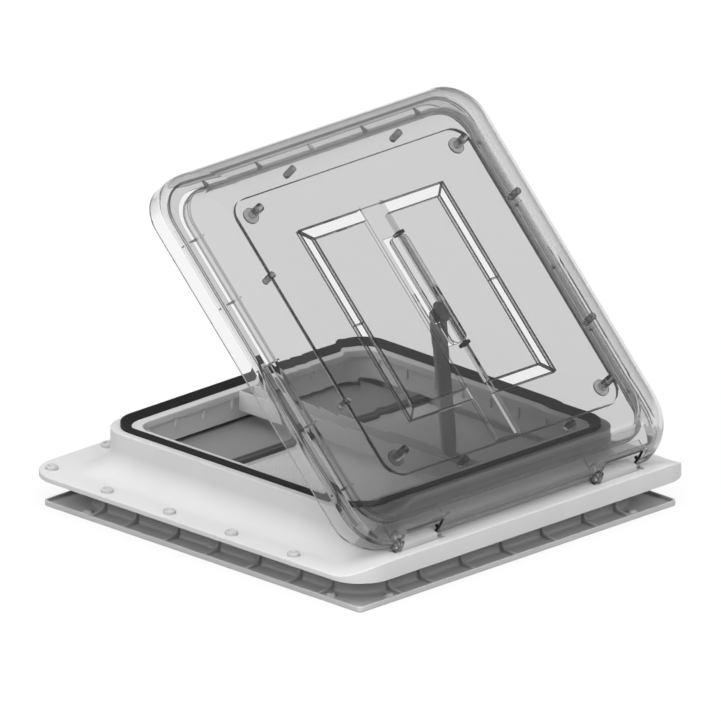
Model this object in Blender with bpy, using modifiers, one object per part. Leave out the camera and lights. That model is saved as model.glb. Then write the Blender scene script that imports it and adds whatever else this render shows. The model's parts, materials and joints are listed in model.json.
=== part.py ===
"""Opening roof light for a caravan roof, modelled with its lid propped open at 45 degrees.

The constants are millimetres and every mesh is built in metres.  +Z is up, the lid's hinge runs along X on
the -Y side, z = 0 is the underside of the interior frame and the origin is the middle of the opening.  Lid
pieces are modelled closed in the lid's own frame: x along the hinge, y outward from the hinge, z along the
lid's normal.
"""
import math

import bmesh
import bpy
from mathutils import Matrix, Vector

MM = 0.001
PART_NAME = "roof_vent_cover"

# Gaps between pieces that touch or run
SEAT_GAP = 0.3

# How far a cutting solid runs past a face, and how far a joined solid sinks into one
CUT_PAST = 2.0
JOIN_SINK = 0.1

# Stations on each corner arc of a swept square, and flats on small rods
ARC_STEPS = 6
SMALL_SIDES = 12
SMALLEST_SIDES = 10

# Outer frame, half sizes from the middle of the opening
FLANGE_HALF = 229.0
FLANGE_UNDERSIDE_Z = 31.7
FLANGE_TOP_Z = 36.8
DECK_TOP_Z = 50.0
FLANGE_EDGE = ((0.0, 1.8), (1.2, 0.4), (3.0, 0.0))
COLLAR_HALF = 179.0
COLLAR_CORNER_R = 33.0
CORNER_R_GAIN_OUT = 0.1
CORNER_R_LOSS_IN = 0.5
COLLAR_TOP_Z = 80.5
COLLAR_WALL = 3.0
COLLAR_LIP = 1.0
COVE_R = 25.8
COVE_STEPS = 5
DECK_FILLET_R = 6.0
WELL_HALF = 153.0
WELL_LIP = 0.9
WELL_RECESS = 2.0
WELL_WALL = 2.6
WELL_BAND_HEIGHT = 7.0
WELL_WALL_FOOT_Z = 51.5
SPIGOT_HALF = 184.6
SPIGOT_WALL = 2.6
SPIGOT_FOOT_Z = 12.0
TOWER_R = 7.0
TOWER_OFFSET = 163.0
TOWER_SINK = 1.5
OUTER_TOWER_FOOT_Z = 16.0

# Flange screws
FLANGE_SCREW_LINE = 216.7
FLANGE_SCREW_NEAR = 42.1
FLANGE_SCREW_FAR = 126.4
FLANGE_SCREW_CORNER = 209.0
FLANGE_SCREW_HEAD_R = 6.2
FLANGE_SCREW_HEAD_HEIGHT = 3.9
FLANGE_SCREW_DOME = ((3.7, 0.2), (5.7, 1.5))
FLANGE_SCREW_SHANK_R = 2.0
FLANGE_SCREW_HOLE_R = 2.3
FLANGE_SCREW_HOLE_Z = 33.4

# Collar seal
SEAL_INNER_HALF = 162.2
SEAL_OUTER_HALF = 171.2
SEAL_TOP_Z = 86.5
SEAL_LIP_Z = 81.4
SEAL_EDGE = (1.0, 0.6)

# Interior frame
TRIM_HALF = 215.0
TRIM_CORNER_R = 4.5
TRIM_FLOOR = 2.3
TRIM_RIM_WIDTH = 2.2
TRIM_RIM_Z = 5.7
SLEEVE_HALF = 190.0
SLEEVE_WALL = 2.6
SLEEVE_TOP_Z = 29.0
INNER_SLEEVE_TOP_Z = 40.0
TRIM_TOWER_TOP_Z = 15.7
TRIM_SINK_Z = 1.2
RIB_THICKNESS = 2.2
RIB_PLACES = (0.0, 55.4, -55.4, 111.0, -111.0, 154.0, -154.0)
RIB_START_HALF = 189.2
RIB_PROFILE = ((191.8, 25.0), (192.6, 8.5), (196.0, 6.3), (212.9, 4.6))
TRAY_BOSS_PLACE = (204.0, 165.0)
TRAY_BOSS_FOOT_R = 6.0
TRAY_BOSS_TOP_R = 3.2
TRAY_BOSS_TOP_Z = 5.5

# Clamp screws
CLAMP_HEAD_R = 4.2
CLAMP_BORE_R = 4.6
CLAMP_BORE_TOP_Z = 7.0
CLAMP_SHANK_R = 2.0
CLAMP_HOLE_R = 2.4
CLAMP_TIP_Z = 40.0
CLAMP_TIP_LENGTH = 2.5
CLAMP_TIP_ROOM = 1.0
CLAMP_HEAD_HEIGHT = 3.2
CLAMP_HEAD_EDGE = (1.4, 1.0)

# Bridge, bracket and lift arm
BRIDGE_HALF_WIDTH = 11.5
BRIDGE_WALL = 2.2
BRIDGE_FOOT_Z = 60.3
BRIDGE_TOP_Z = 80.0
BRIDGE_FLOOR_Z = 62.6
BRACKET_CHEEK_IN = 7.2
BRACKET_CHEEK_OUT = 9.0
BRACKET_FLOOR = 1.5
BRACKET_HALF_LENGTH = 17.0
BRACKET_TOP_Z = 83.5
BRACKET_DOME = 13.6
BRACKET_DOME_STEPS = 8
PIN_BORE_REACH = 15.0
ARM_FOOT_Y = -121.3
ARM_FOOT_Z = 68.8
ARM_THICKNESS = 4.0
ARM_HALF_WIDTH = 8.6
ARM_HEAD_HALF_WIDTH = 9.4
ARM_FOOT_HALF_WIDTH = 6.9
ARM_FOOT_LENGTH = 19.0
ARM_NECK = ((0.0, -2.0), (0.5, 1.0))
ARM_NECK_END = 4.0
ARM_HEAD_FLARE = 5.0
ARM_EAR_INSET = 1.0
ARM_EAR_STEP = (6.0, 4.4)
ARM_EAR_END = 1.0
ARM_FORK_DEPTH = 9.0
ARM_FOOT_KNUCKLE_R = 4.0
ARM_FOOT_BORE_R = 2.1
ARM_FOOT_PIN_R = 1.8
ARM_HEAD_KNUCKLE_R = 3.4
ARM_HEAD_BORE_R = 2.0
ARM_HEAD_PIN_R = 1.7
ARM_FORK_HALF = 5.6
ARM_PAD_LENGTH = 31.0
ARM_PAD_INSET = 1.6
ARM_PAD_START = 4.0
ARM_PAD_STOP = 10.0
ARM_PAD_RISE = 0.9
ARM_PAD_STEPS = 6

# Lid hinge and its open angle
HINGE_Y = -212.4
HINGE_Z = 53.3
LID_OPEN_DEG = 45.0
HINGE_CENTRE_X = 135.1
KNUCKLE_HALF_X = 24.3
KNUCKLE_FRONT = -3.8
KNUCKLE_BACK = 6.4
KNUCKLE_RIDGE = 4.4
KNUCKLE_EAVES_Z = 2.5
KNUCKLE_RIDGE_Z = 7.6
KNUCKLE_HIP = 4.5
KNUCKLE_FOOT_Z = 47.8
HINGE_SEAT_HALF_X = 34.0
HINGE_SEAT_Z = 47.5
HINGE_SEAT_Y = (-217.6, -205.6)
HINGE_PIN_R = 1.8
HINGE_BORE_R = 2.1
HINGE_BORE_REACH = 40.0
LEAF_RING_IN = 24.6
LEAF_RING_OUT = 30.9
LEAF_RING_R = 4.7
LEAF_RING_DEG = (150.0, 360.0)
LEAF_RING_STEPS = 14
LEAF_RING_ROOT = 9.8
LEAF_RING_TIP = -1.0
LEAF_RING_SINK = (0.4, 0.3)
LEAF_PLATE_A = (9.0, 21.0)
LEAF_PLATE_B = 7.8
LEAF_PLATE = 2.5
LEAF_HALF_X = 37.0
LEAF_UPRIGHT_A = (10.0, 12.0)
LEAF_UPRIGHT_B = (8.6, 21.0)
LEAF_UPRIGHT_INSET = 0.5

# Lid outer skin
LID_CENTRE_A = 212.1
LID_HALF = 211.5
LID_CORNER_R = 41.0
LID_CORNER_R_LOSS_IN = 0.38
LID_RIM_B = -10.3
LID_TOP_B = 57.6
LID_SKIN = 2.8
LID_SHOULDER_HALF = 147.1
LID_SHOULDER_B = 2.0
LID_SHOULDER_STEPS = 7
LID_SHOULDER_IN_DEG = 83.0
LID_WALL_DRAFT = 0.4
LID_WALL_TAPER = (0.3, 0.1)
LID_SHELF_HALF = 193.2
LID_SHELF_B = 5.2
LID_SHELF = 2.2
LID_NOTCH_B = (-4.0, 10.6)
LID_NOTCH_A = (-6.0, 24.0)

# Lid inner panel
PANEL_UNDERSIDE_B = 34.0
PANEL_SKIN = 2.2
PANEL_FLAT_HALF = 172.0
PANEL_EDGE_HALF = 187.7
PANEL_EDGE_B = 7.7
PANEL_EDGE_LIP = (2.1, 0.6)
PANEL_BEND_UNDER = ((-20.0, 0.0), (0.0, 0.0), (5.5, -2.0), (8.5, -5.4))
PANEL_BEND_OVER = ((10.7, -4.6), (7.0, -0.3), (0.8, PANEL_SKIN))
PANEL_SINK = 0.9
PANEL_BEAD_HALF = 156.5
PANEL_BEAD_HEIGHT = 2.2
PANEL_BEAD_FOOT = 2.4
PANEL_BEAD_CREST = 1.4
TROUGH_HALF = 13.3
TROUGH_A = (57.6, 320.0)
TROUGH_CEILING_B = 39.0
TROUGH_TOP_B = 41.2
SLOT_HALF = 11.0
SLOT_A = (161.0, 278.5)
FIELD_HALF = 96.3
FIELD_A = (104.5, 322.5)
FIELD_BEVEL = 10.0
FIELD_HEIGHT = 3.5
FIELD_SINK = 1.2
FIELD_EDGE = (2.2, 0.4)
TAB_PLACES = (0.0, 71.4, -71.4, 142.8, -142.8)
TAB_THICKNESS = 2.0
TAB_ROOT = (-3.0, 18.0)
TAB_TIP = (11.0, 1.6)
TAB_HEEL = (1.0, 0.7)
TAB_HINGE_CLEAR = 100.0
BOSS_OFFSET = 138.9
BOSS_R = 8.5
BOSS_FOOT = 2.0
BOSS_STUD_R = 3.2
SPACER_LINE = 166.0
SPACER_STEP = 72.0
SPACER_R = 2.6
SPACER_TOP_B = 50.4

# Guide rail, its clips and the slide block
SLIDE_A = 194.4
SLIDE_B = 41.3
RAIL_HALF_WIDTH = 10.3
RAIL_CAVITY_HALF = 8.6
RAIL_LIP_HALF = 5.8
RAIL_B = (45.6, 51.6)
RAIL_LIP_TOP_B = 46.8
RAIL_CEILING_B = 49.9
RAIL_A = (158.5, 281.0)
CLIP_LENGTH = 3.4
BLOCK_HALF_LENGTH = 6.0
BLOCK_SIDE_GAP = 0.4
BLOCK_B = (-3.7, 6.0)
BLOCK_STEM_INSET = 0.6
BLOCK_STEM_B = 4.0
BLOCK_STEM_SINK = 0.7
BLOCK_HEAD_HALF_LENGTH = 9.0
BLOCK_HEAD_SIDE_GAP = 0.5
BLOCK_HEAD_FLOAT = 0.8

# Blind, flyscreen and the ledges they run on
TRACK_FLOOR_Z = (40.3, 42.5)
TRACK_X = (153.0, 163.0)
TRACK_WALL = 1.8
TRACK_TOP_Z = 50.0
TRACK_HALF_LENGTH = 132.0
CASSETTE_HALF_X = 154.5
CASSETTE_Y = (158.0, 172.0)
CASSETTE_Z = (2.6, 53.0)
CASSETTE_WALL = 1.3
CASSETTE_SLOT_Z = (44.5, 50.0)
CASSETTE_SLOT_DEPTH = 5.0
CASSETTE_SLOT_SIDE = 0.8
SHADE_HALF_X = 151.5
SHADE_Z = (46.7, 47.3)
SHADE_TUCK_Y = 165.0
BAR_HALF_X = 160.6
BAR_Z = (43.0, 51.0)
BAR_CHAMFER = 1.4
BLIND_BAR_Y = (74.6, 80.0)
SCREEN_BAR_Y = (68.8, 74.3)
NET_GAPS_X = 16
NET_GAPS_Y = 10
NET_STRAND = 1.2


def clear_scene():
    """Remove every object so the part starts from an empty scene."""
    for old in list(bpy.data.objects):
        bpy.data.objects.remove(old, do_unlink=True)


def make_collection(name):
    """Make a collection in the scene and return it."""
    made = bpy.data.collections.new(name)
    bpy.context.scene.collection.children.link(made)
    return made


def srgb(hex_code):
    """Return linear RGBA for an sRGB hex code."""
    channels = []
    for start in (0, 2, 4):
        value = int(hex_code[start:start + 2], 16) / 255.0
        channels.append(value / 12.92 if value <= 0.04045 else ((value + 0.055) / 1.055) ** 2.4)
    return (channels[0], channels[1], channels[2], 1.0)


def make_material(name, hex_code, roughness, metallic=0.0, transmission=0.0):
    """Make one Principled material."""
    made = bpy.data.materials.new(name)
    made.use_nodes = True
    shader = made.node_tree.nodes["Principled BSDF"]
    shader.inputs["Base Color"].default_value = srgb(hex_code)
    shader.inputs["Roughness"].default_value = roughness
    shader.inputs["Metallic"].default_value = metallic
    shader.inputs["Transmission Weight"].default_value = transmission
    made.diffuse_color = srgb(hex_code)
    return made


def add_object(name, body, material, parent=None, collection=None):
    """Turn a bmesh in millimetres into a named object in metres."""
    bmesh.ops.recalc_face_normals(body, faces=body.faces)
    body.transform(Matrix.Scale(MM, 4))
    mesh = bpy.data.meshes.new(name)
    body.to_mesh(mesh)
    body.free()
    made = bpy.data.objects.new(name, mesh)
    if material is not None:
        mesh.materials.append(material)
    (collection or PART).objects.link(made)
    made.parent = parent
    return made


def add_tool(name, body, parent=None):
    """Make a hidden solid that joins or cuts another object."""
    tool = add_object(name, body, None, parent, TOOLS)
    tool.hide_render = True
    tool.display_type = "WIRE"
    return tool


def combine(target, tool, operation):
    """Join or cut a target with a hidden solid."""
    step = target.modifiers.new(tool.name, "BOOLEAN")
    step.object = tool
    step.operation = operation
    step.solver = "EXACT"


def smooth(share):
    """Ease a share from 0 to 1."""
    return share * share * (3.0 - 2.0 * share)


def mix(first, second, share):
    """Blend two numbers."""
    return first + (second - first) * share


def frame_radius(half):
    """Corner radius of the outer frame at a half size."""
    if half >= COLLAR_HALF:
        return COLLAR_CORNER_R + CORNER_R_GAIN_OUT * (half - COLLAR_HALF)
    return COLLAR_CORNER_R - CORNER_R_LOSS_IN * (COLLAR_HALF - half)


def lid_radius(half):
    """Corner radius of the lid at a half size."""
    return LID_CORNER_R - LID_CORNER_R_LOSS_IN * (LID_HALF - half)


def stations():
    """List the corner, arc share and hinge-side share of each station round a square."""
    found = []
    for corner in range(4):
        for step in range(ARC_STEPS + 1):
            share = step / ARC_STEPS
            hinge = 0.0
            if corner == 2:
                hinge = smooth(share)
            if corner == 3:
                hinge = smooth(1.0 - share)
            found.append((corner, share, hinge))
    return found


def square_point(half, radius, corner, share):
    """Place one station of a rounded square."""
    turn = math.radians(90.0 * (corner + share))
    sign_x = 1.0 if corner in (0, 3) else -1.0
    sign_y = 1.0 if corner in (0, 1) else -1.0
    inner = half - radius
    return sign_x * inner + radius * math.cos(turn), sign_y * inner + radius * math.sin(turn)


def sweep_square(body, section, radius_of, centre_y=0.0, closed=True):
    """Sweep a section of (half, height) pairs round a rounded square.

    The section is a function of the hinge-side share.  An open section is capped across its first and last
    loop.
    """
    columns = []
    for corner, share, hinge in stations():
        column = []
        for half, height in section(hinge):
            x, y = square_point(half, radius_of(half), corner, share)
            column.append(body.verts.new((x, y + centre_y, height)))
        columns.append(column)
    count = len(columns)
    rows = len(columns[0])
    last = rows if closed else rows - 1
    for place in range(count):
        here = columns[place]
        there = columns[(place + 1) % count]
        for row in range(last):
            above = (row + 1) % rows
            body.faces.new((here[row], there[row], there[above], here[above]))
    if not closed:
        body.faces.new([column[0] for column in columns])
        body.faces.new([column[-1] for column in columns])


def box(body, x_range, y_range, z_range):
    """Add a box."""
    size = Vector((x_range[1] - x_range[0], y_range[1] - y_range[0], z_range[1] - z_range[0]))
    middle = Vector((sum(x_range), sum(y_range), sum(z_range))) / 2.0
    place = Matrix.Translation(middle) @ Matrix.Diagonal((size.x, size.y, size.z, 1.0))
    bmesh.ops.create_cube(body, size=1.0, matrix=place)


def rod(body, start, end, radius, sides=16, top_radius=None):
    """Add a round rod between two points, or a cone if its top has a radius of its own."""
    line = Vector(end) - Vector(start)
    turn = line.to_track_quat("Z", "Y").to_matrix().to_4x4()
    bmesh.ops.create_cone(
        body,
        cap_ends=True,
        segments=sides,
        radius1=radius,
        radius2=radius if top_radius is None else top_radius,
        depth=line.length,
        matrix=Matrix.Translation((Vector(start) + Vector(end)) / 2.0) @ turn,
    )


def prism(body, outline, low, high, lift):
    """Extrude a closed outline between two heights; lift places (u, v, w) in space."""
    near = [body.verts.new(lift(u, v, low)) for u, v in outline]
    far = [body.verts.new(lift(u, v, high)) for u, v in outline]
    body.faces.new(near)
    body.faces.new(far)
    for place in range(len(outline)):
        after = (place + 1) % len(outline)
        body.faces.new((near[place], near[after], far[after], far[place]))


def along_x(u, v, w):
    """Outline in Y and Z, extruded along X."""
    return (w, u, v)


def along_y(u, v, w):
    """Outline in X and Z, extruded along Y."""
    return (u, w, v)


def along_z(u, v, w):
    """Outline in X and Y, extruded along Z."""
    return (u, v, w)


def turned(name, profile, material, location, parent=None, steps=14):
    """Make a turned piece: a profile of (radius, height) pairs with a Screw modifier."""
    mesh = bpy.data.meshes.new(name)
    points = [(radius * MM, 0.0, height * MM) for radius, height in profile]
    mesh.from_pydata(points, [(place, place + 1) for place in range(len(points) - 1)], [])
    mesh.materials.append(material)
    made = bpy.data.objects.new(name, mesh)
    PART.objects.link(made)
    made.parent = parent
    made.location = Vector(location) * MM
    spin = made.modifiers.new("turn", "SCREW")
    spin.axis = "Z"
    spin.steps = steps
    spin.render_steps = steps
    spin.use_merge_vertices = True
    spin.merge_threshold = 0.00001
    return made


def pivot(name, location, turn_deg, parent=None):
    """Make an empty on a joint axis."""
    made = bpy.data.objects.new(name, None)
    made.empty_display_size = 0.02
    made.location = Vector(location) * MM
    made.rotation_euler = (math.radians(turn_deg), 0.0, 0.0)
    PART.objects.link(made)
    made.parent = parent
    return made


def outer_section(hinge):
    """Section of the outer frame, with the raised deck on the hinge side."""
    top = mix(FLANGE_TOP_Z, DECK_TOP_Z, hinge)
    cove = mix(COVE_R, DECK_FILLET_R, hinge)
    points = [(FLANGE_HALF, FLANGE_UNDERSIDE_Z)]
    points += [(FLANGE_HALF - inset, top - drop) for inset, drop in FLANGE_EDGE]
    for step in range(COVE_STEPS + 1):
        turn = math.radians(90.0 * step / COVE_STEPS)
        points.append((COLLAR_HALF + cove * (1.0 - math.sin(turn)), top + cove * (1.0 - math.cos(turn))))
    recess = WELL_HALF + WELL_RECESS
    hollow_in = recess + WELL_WALL
    hollow_out = COLLAR_HALF - COLLAR_WALL
    band_foot = COLLAR_TOP_Z - WELL_BAND_HEIGHT
    points += [
        (COLLAR_HALF, COLLAR_TOP_Z - COLLAR_LIP),
        (COLLAR_HALF - COLLAR_LIP, COLLAR_TOP_Z),
        (WELL_HALF + COLLAR_LIP, COLLAR_TOP_Z),
        (WELL_HALF, COLLAR_TOP_Z - WELL_LIP),
        (WELL_HALF, band_foot),
        (recess, band_foot - WELL_LIP),
        (recess, WELL_WALL_FOOT_Z),
        (hollow_in, WELL_WALL_FOOT_Z),
        (hollow_in, COLLAR_TOP_Z - COLLAR_WALL),
        (hollow_out, COLLAR_TOP_Z - COLLAR_WALL),
        (hollow_out, FLANGE_UNDERSIDE_Z),
        (SPIGOT_HALF - SPIGOT_WALL, FLANGE_UNDERSIDE_Z),
        (SPIGOT_HALF - SPIGOT_WALL, SPIGOT_FOOT_Z),
        (SPIGOT_HALF, SPIGOT_FOOT_Z),
        (SPIGOT_HALF, FLANGE_UNDERSIDE_Z),
    ]
    return points


def seal_section(hinge):
    """Wedge section of the collar seal."""
    foot = COLLAR_TOP_Z + SEAT_GAP
    return [
        (SEAL_INNER_HALF, foot),
        (SEAL_OUTER_HALF, foot),
        (SEAL_OUTER_HALF, SEAL_TOP_Z - SEAL_EDGE[1]),
        (SEAL_OUTER_HALF - SEAL_EDGE[0], SEAL_TOP_Z),
        (SEAL_INNER_HALF, SEAL_LIP_Z),
    ]


def trim_section(hinge):
    """Section of the interior frame."""
    sleeve_in = SLEEVE_HALF - SLEEVE_WALL
    inner_out = WELL_HALF + WELL_WALL
    return [
        (TRIM_HALF, 0.0),
        (TRIM_HALF, TRIM_RIM_Z),
        (TRIM_HALF - TRIM_RIM_WIDTH, TRIM_RIM_Z),
        (TRIM_HALF - TRIM_RIM_WIDTH, TRIM_FLOOR),
        (SLEEVE_HALF, TRIM_FLOOR),
        (SLEEVE_HALF, SLEEVE_TOP_Z),
        (sleeve_in, SLEEVE_TOP_Z),
        (sleeve_in, TRIM_FLOOR),
        (inner_out, TRIM_FLOOR),
        (inner_out, INNER_SLEEVE_TOP_Z),
        (WELL_HALF, INNER_SLEEVE_TOP_Z),
        (WELL_HALF, 0.0),
    ]


def trim_radius(half):
    """Corner radius of the interior frame at a half size."""
    if half > SLEEVE_HALF:
        return TRIM_CORNER_R
    return frame_radius(half)


def skin_section(hinge):
    """Section of the lid's outer skin, from the middle underneath to the middle on top."""
    rim = LID_RIM_B * (1.0 - hinge)
    reach = LID_HALF - LID_WALL_DRAFT - LID_SHOULDER_HALF
    rise = LID_TOP_B - LID_SHOULDER_B
    reach_in = reach - LID_SKIN
    rise_in = rise - LID_SKIN
    shelf_top = LID_SHELF_B + LID_SHELF
    inside = []
    for step in range(LID_SHOULDER_STEPS + 1):
        turn = math.radians(90.0 - LID_SHOULDER_IN_DEG * step / LID_SHOULDER_STEPS)
        along = LID_SHOULDER_HALF + reach_in * math.cos(turn)
        inside.append((along, LID_SHOULDER_B + rise_in * math.sin(turn)))
    wall_in = LID_SHOULDER_HALF + reach_in
    inside += [
        (wall_in - LID_WALL_TAPER[0], shelf_top),
        (LID_SHELF_HALF, shelf_top),
        (LID_SHELF_HALF, LID_SHELF_B),
        (wall_in - LID_WALL_TAPER[1], LID_SHELF_B),
        (LID_HALF - LID_SKIN, rim),
    ]
    outside = [(LID_HALF, rim)]
    for step in range(LID_SHOULDER_STEPS + 1):
        turn = math.radians(90.0 * step / LID_SHOULDER_STEPS)
        outside.append((LID_SHOULDER_HALF + reach * math.cos(turn), LID_SHOULDER_B + rise * math.sin(turn)))
    return inside + outside


def panel_section(hinge):
    """Section of the lid's inner panel, from the middle underneath to the middle on top."""
    under = PANEL_UNDERSIDE_B
    top = under + PANEL_SKIN
    crest = top + PANEL_BEAD_HEIGHT
    bead = PANEL_BEAD_HALF
    points = [(PANEL_FLAT_HALF + out, under + rise) for out, rise in PANEL_BEND_UNDER]
    points += [
        (PANEL_EDGE_HALF, PANEL_EDGE_B),
        (PANEL_EDGE_HALF + PANEL_EDGE_LIP[0], PANEL_EDGE_B + PANEL_EDGE_LIP[1]),
    ]
    points += [(PANEL_FLAT_HALF + out, under + rise) for out, rise in PANEL_BEND_OVER]
    points += [
        (bead + PANEL_BEAD_FOOT, top),
        (bead + PANEL_BEAD_CREST, crest),
        (bead - PANEL_BEAD_CREST, crest),
        (bead - PANEL_BEAD_FOOT, top),
    ]
    return points


def corner_places(offset):
    """List the four corners at an offset."""
    return [(x * offset, y * offset) for x in (-1.0, 1.0) for y in (-1.0, 1.0)]


def tray_boss_places():
    """List the eight small bosses on the tray's floor, two near each corner."""
    far, near = TRAY_BOSS_PLACE
    places = []
    for first in (-1.0, 1.0):
        for second in (-1.0, 1.0):
            places += [(first * far, second * near), (first * near, second * far)]
    return places


def flange_screw_places():
    """List the flange screws, none on the hinge side."""
    line = FLANGE_SCREW_LINE
    steps = (-FLANGE_SCREW_FAR, -FLANGE_SCREW_NEAR, FLANGE_SCREW_NEAR, FLANGE_SCREW_FAR)
    places = [(-line, step) for step in steps]
    places += [(-FLANGE_SCREW_CORNER, FLANGE_SCREW_CORNER)]
    places += [(step, line) for step in steps]
    places += [(FLANGE_SCREW_CORNER, FLANGE_SCREW_CORNER)]
    places += [(line, step) for step in reversed(steps)]
    return places


def build_outer_frame(white, steel):
    """Build the outer frame, its seal and its screws."""
    body = bmesh.new()
    sweep_square(body, outer_section, frame_radius)
    frame = add_object("outer_frame", body, white)

    towers = bmesh.new()
    for x, y in corner_places(TOWER_OFFSET):
        rod(towers, (x, y, OUTER_TOWER_FOOT_Z), (x, y, COLLAR_TOP_Z - TOWER_SINK), TOWER_R)
    combine(frame, add_tool("tool_outer_towers", towers), "UNION")

    holes = bmesh.new()
    for x, y in corner_places(TOWER_OFFSET):
        foot = OUTER_TOWER_FOOT_Z - CUT_PAST
        rod(holes, (x, y, foot), (x, y, CLAMP_TIP_Z + CLAMP_TIP_ROOM), CLAMP_HOLE_R, SMALL_SIDES)
    for x, y in flange_screw_places():
        top = FLANGE_TOP_Z + CUT_PAST
        rod(holes, (x, y, FLANGE_SCREW_HOLE_Z), (x, y, top), FLANGE_SCREW_HOLE_R, SMALLEST_SIDES)
    for side in (-1.0, 1.0):
        middle = side * HINGE_CENTRE_X
        box(
            holes,
            (middle - HINGE_SEAT_HALF_X, middle + HINGE_SEAT_HALF_X),
            HINGE_SEAT_Y,
            (HINGE_SEAT_Z, DECK_TOP_Z + CUT_PAST),
        )
    combine(frame, add_tool("tool_outer_holes", holes), "DIFFERENCE")

    head = FLANGE_TOP_Z + SEAT_GAP
    top = head + FLANGE_SCREW_HEAD_HEIGHT
    profile = [(0.0, top)]
    profile += [(radius, top - drop) for radius, drop in FLANGE_SCREW_DOME]
    profile += [
        (FLANGE_SCREW_HEAD_R, head),
        (FLANGE_SCREW_SHANK_R, head),
        (FLANGE_SCREW_SHANK_R, FLANGE_SCREW_HOLE_Z + SEAT_GAP),
        (0.0, FLANGE_SCREW_HOLE_Z + SEAT_GAP),
    ]
    for number, (x, y) in enumerate(flange_screw_places(), 1):
        turned("flange_screw_%02d" % number, profile, steel, (x, y, 0.0), steps=SMALL_SIDES)


def build_seal(rubber):
    """Build the wedge seal on the collar."""
    body = bmesh.new()
    sweep_square(body, seal_section, frame_radius)
    add_object("collar_seal", body, rubber)


def build_interior_frame(white, steel):
    """Build the interior frame and the four clamp screws."""
    body = bmesh.new()
    sweep_square(body, trim_section, trim_radius)
    trim = add_object("interior_frame", body, white)

    ribs = bmesh.new()
    outline = [(RIB_START_HALF, TRIM_SINK_Z), (RIB_START_HALF, RIB_PROFILE[0][1])]
    outline += RIB_PROFILE
    outline += [(RIB_PROFILE[-1][0], TRIM_SINK_Z)]
    half = RIB_THICKNESS / 2.0
    for place in RIB_PLACES:
        for side in (-1.0, 1.0):
            mirrored = [(side * reach, height) for reach, height in outline]
            prism(ribs, mirrored, place - half, place + half, along_y)
            prism(ribs, mirrored, place - half, place + half, along_x)
    combine(trim, add_tool("tool_trim_ribs", ribs), "UNION")

    towers = bmesh.new()
    bores = bmesh.new()
    for x, y in corner_places(TOWER_OFFSET):
        rod(towers, (x, y, TRIM_SINK_Z), (x, y, TRIM_TOWER_TOP_Z), TOWER_R)
        rod(bores, (x, y, -CUT_PAST), (x, y, CLAMP_BORE_TOP_Z), CLAMP_BORE_R)
    for x, y in tray_boss_places():
        foot = (x, y, TRIM_SINK_Z)
        rod(towers, foot, (x, y, TRAY_BOSS_TOP_Z), TRAY_BOSS_FOOT_R, top_radius=TRAY_BOSS_TOP_R)
    combine(trim, add_tool("tool_trim_towers", towers), "UNION")
    combine(trim, add_tool("tool_trim_bores", bores), "DIFFERENCE")
    shanks = bmesh.new()
    for x, y in corner_places(TOWER_OFFSET):
        top = TRIM_TOWER_TOP_Z + CUT_PAST
        rod(shanks, (x, y, CUT_PAST), (x, y, top), CLAMP_HOLE_R, SMALL_SIDES)
    combine(trim, add_tool("tool_trim_shanks", shanks), "DIFFERENCE")

    seat = CLAMP_BORE_TOP_Z - SEAT_GAP
    profile = [
        (0.0, CLAMP_TIP_Z),
        (CLAMP_SHANK_R, CLAMP_TIP_Z - CLAMP_TIP_LENGTH),
        (CLAMP_SHANK_R, seat),
        (CLAMP_HEAD_R, seat),
        (CLAMP_HEAD_R, seat - CLAMP_HEAD_HEIGHT + CLAMP_HEAD_EDGE[1]),
        (CLAMP_HEAD_R - CLAMP_HEAD_EDGE[0], seat - CLAMP_HEAD_HEIGHT),
        (0.0, seat - CLAMP_HEAD_HEIGHT),
    ]
    for number, (x, y) in enumerate(corner_places(TOWER_OFFSET), 1):
        turned("clamp_screw_%d" % number, profile, steel, (x, y, 0.0))


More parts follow.
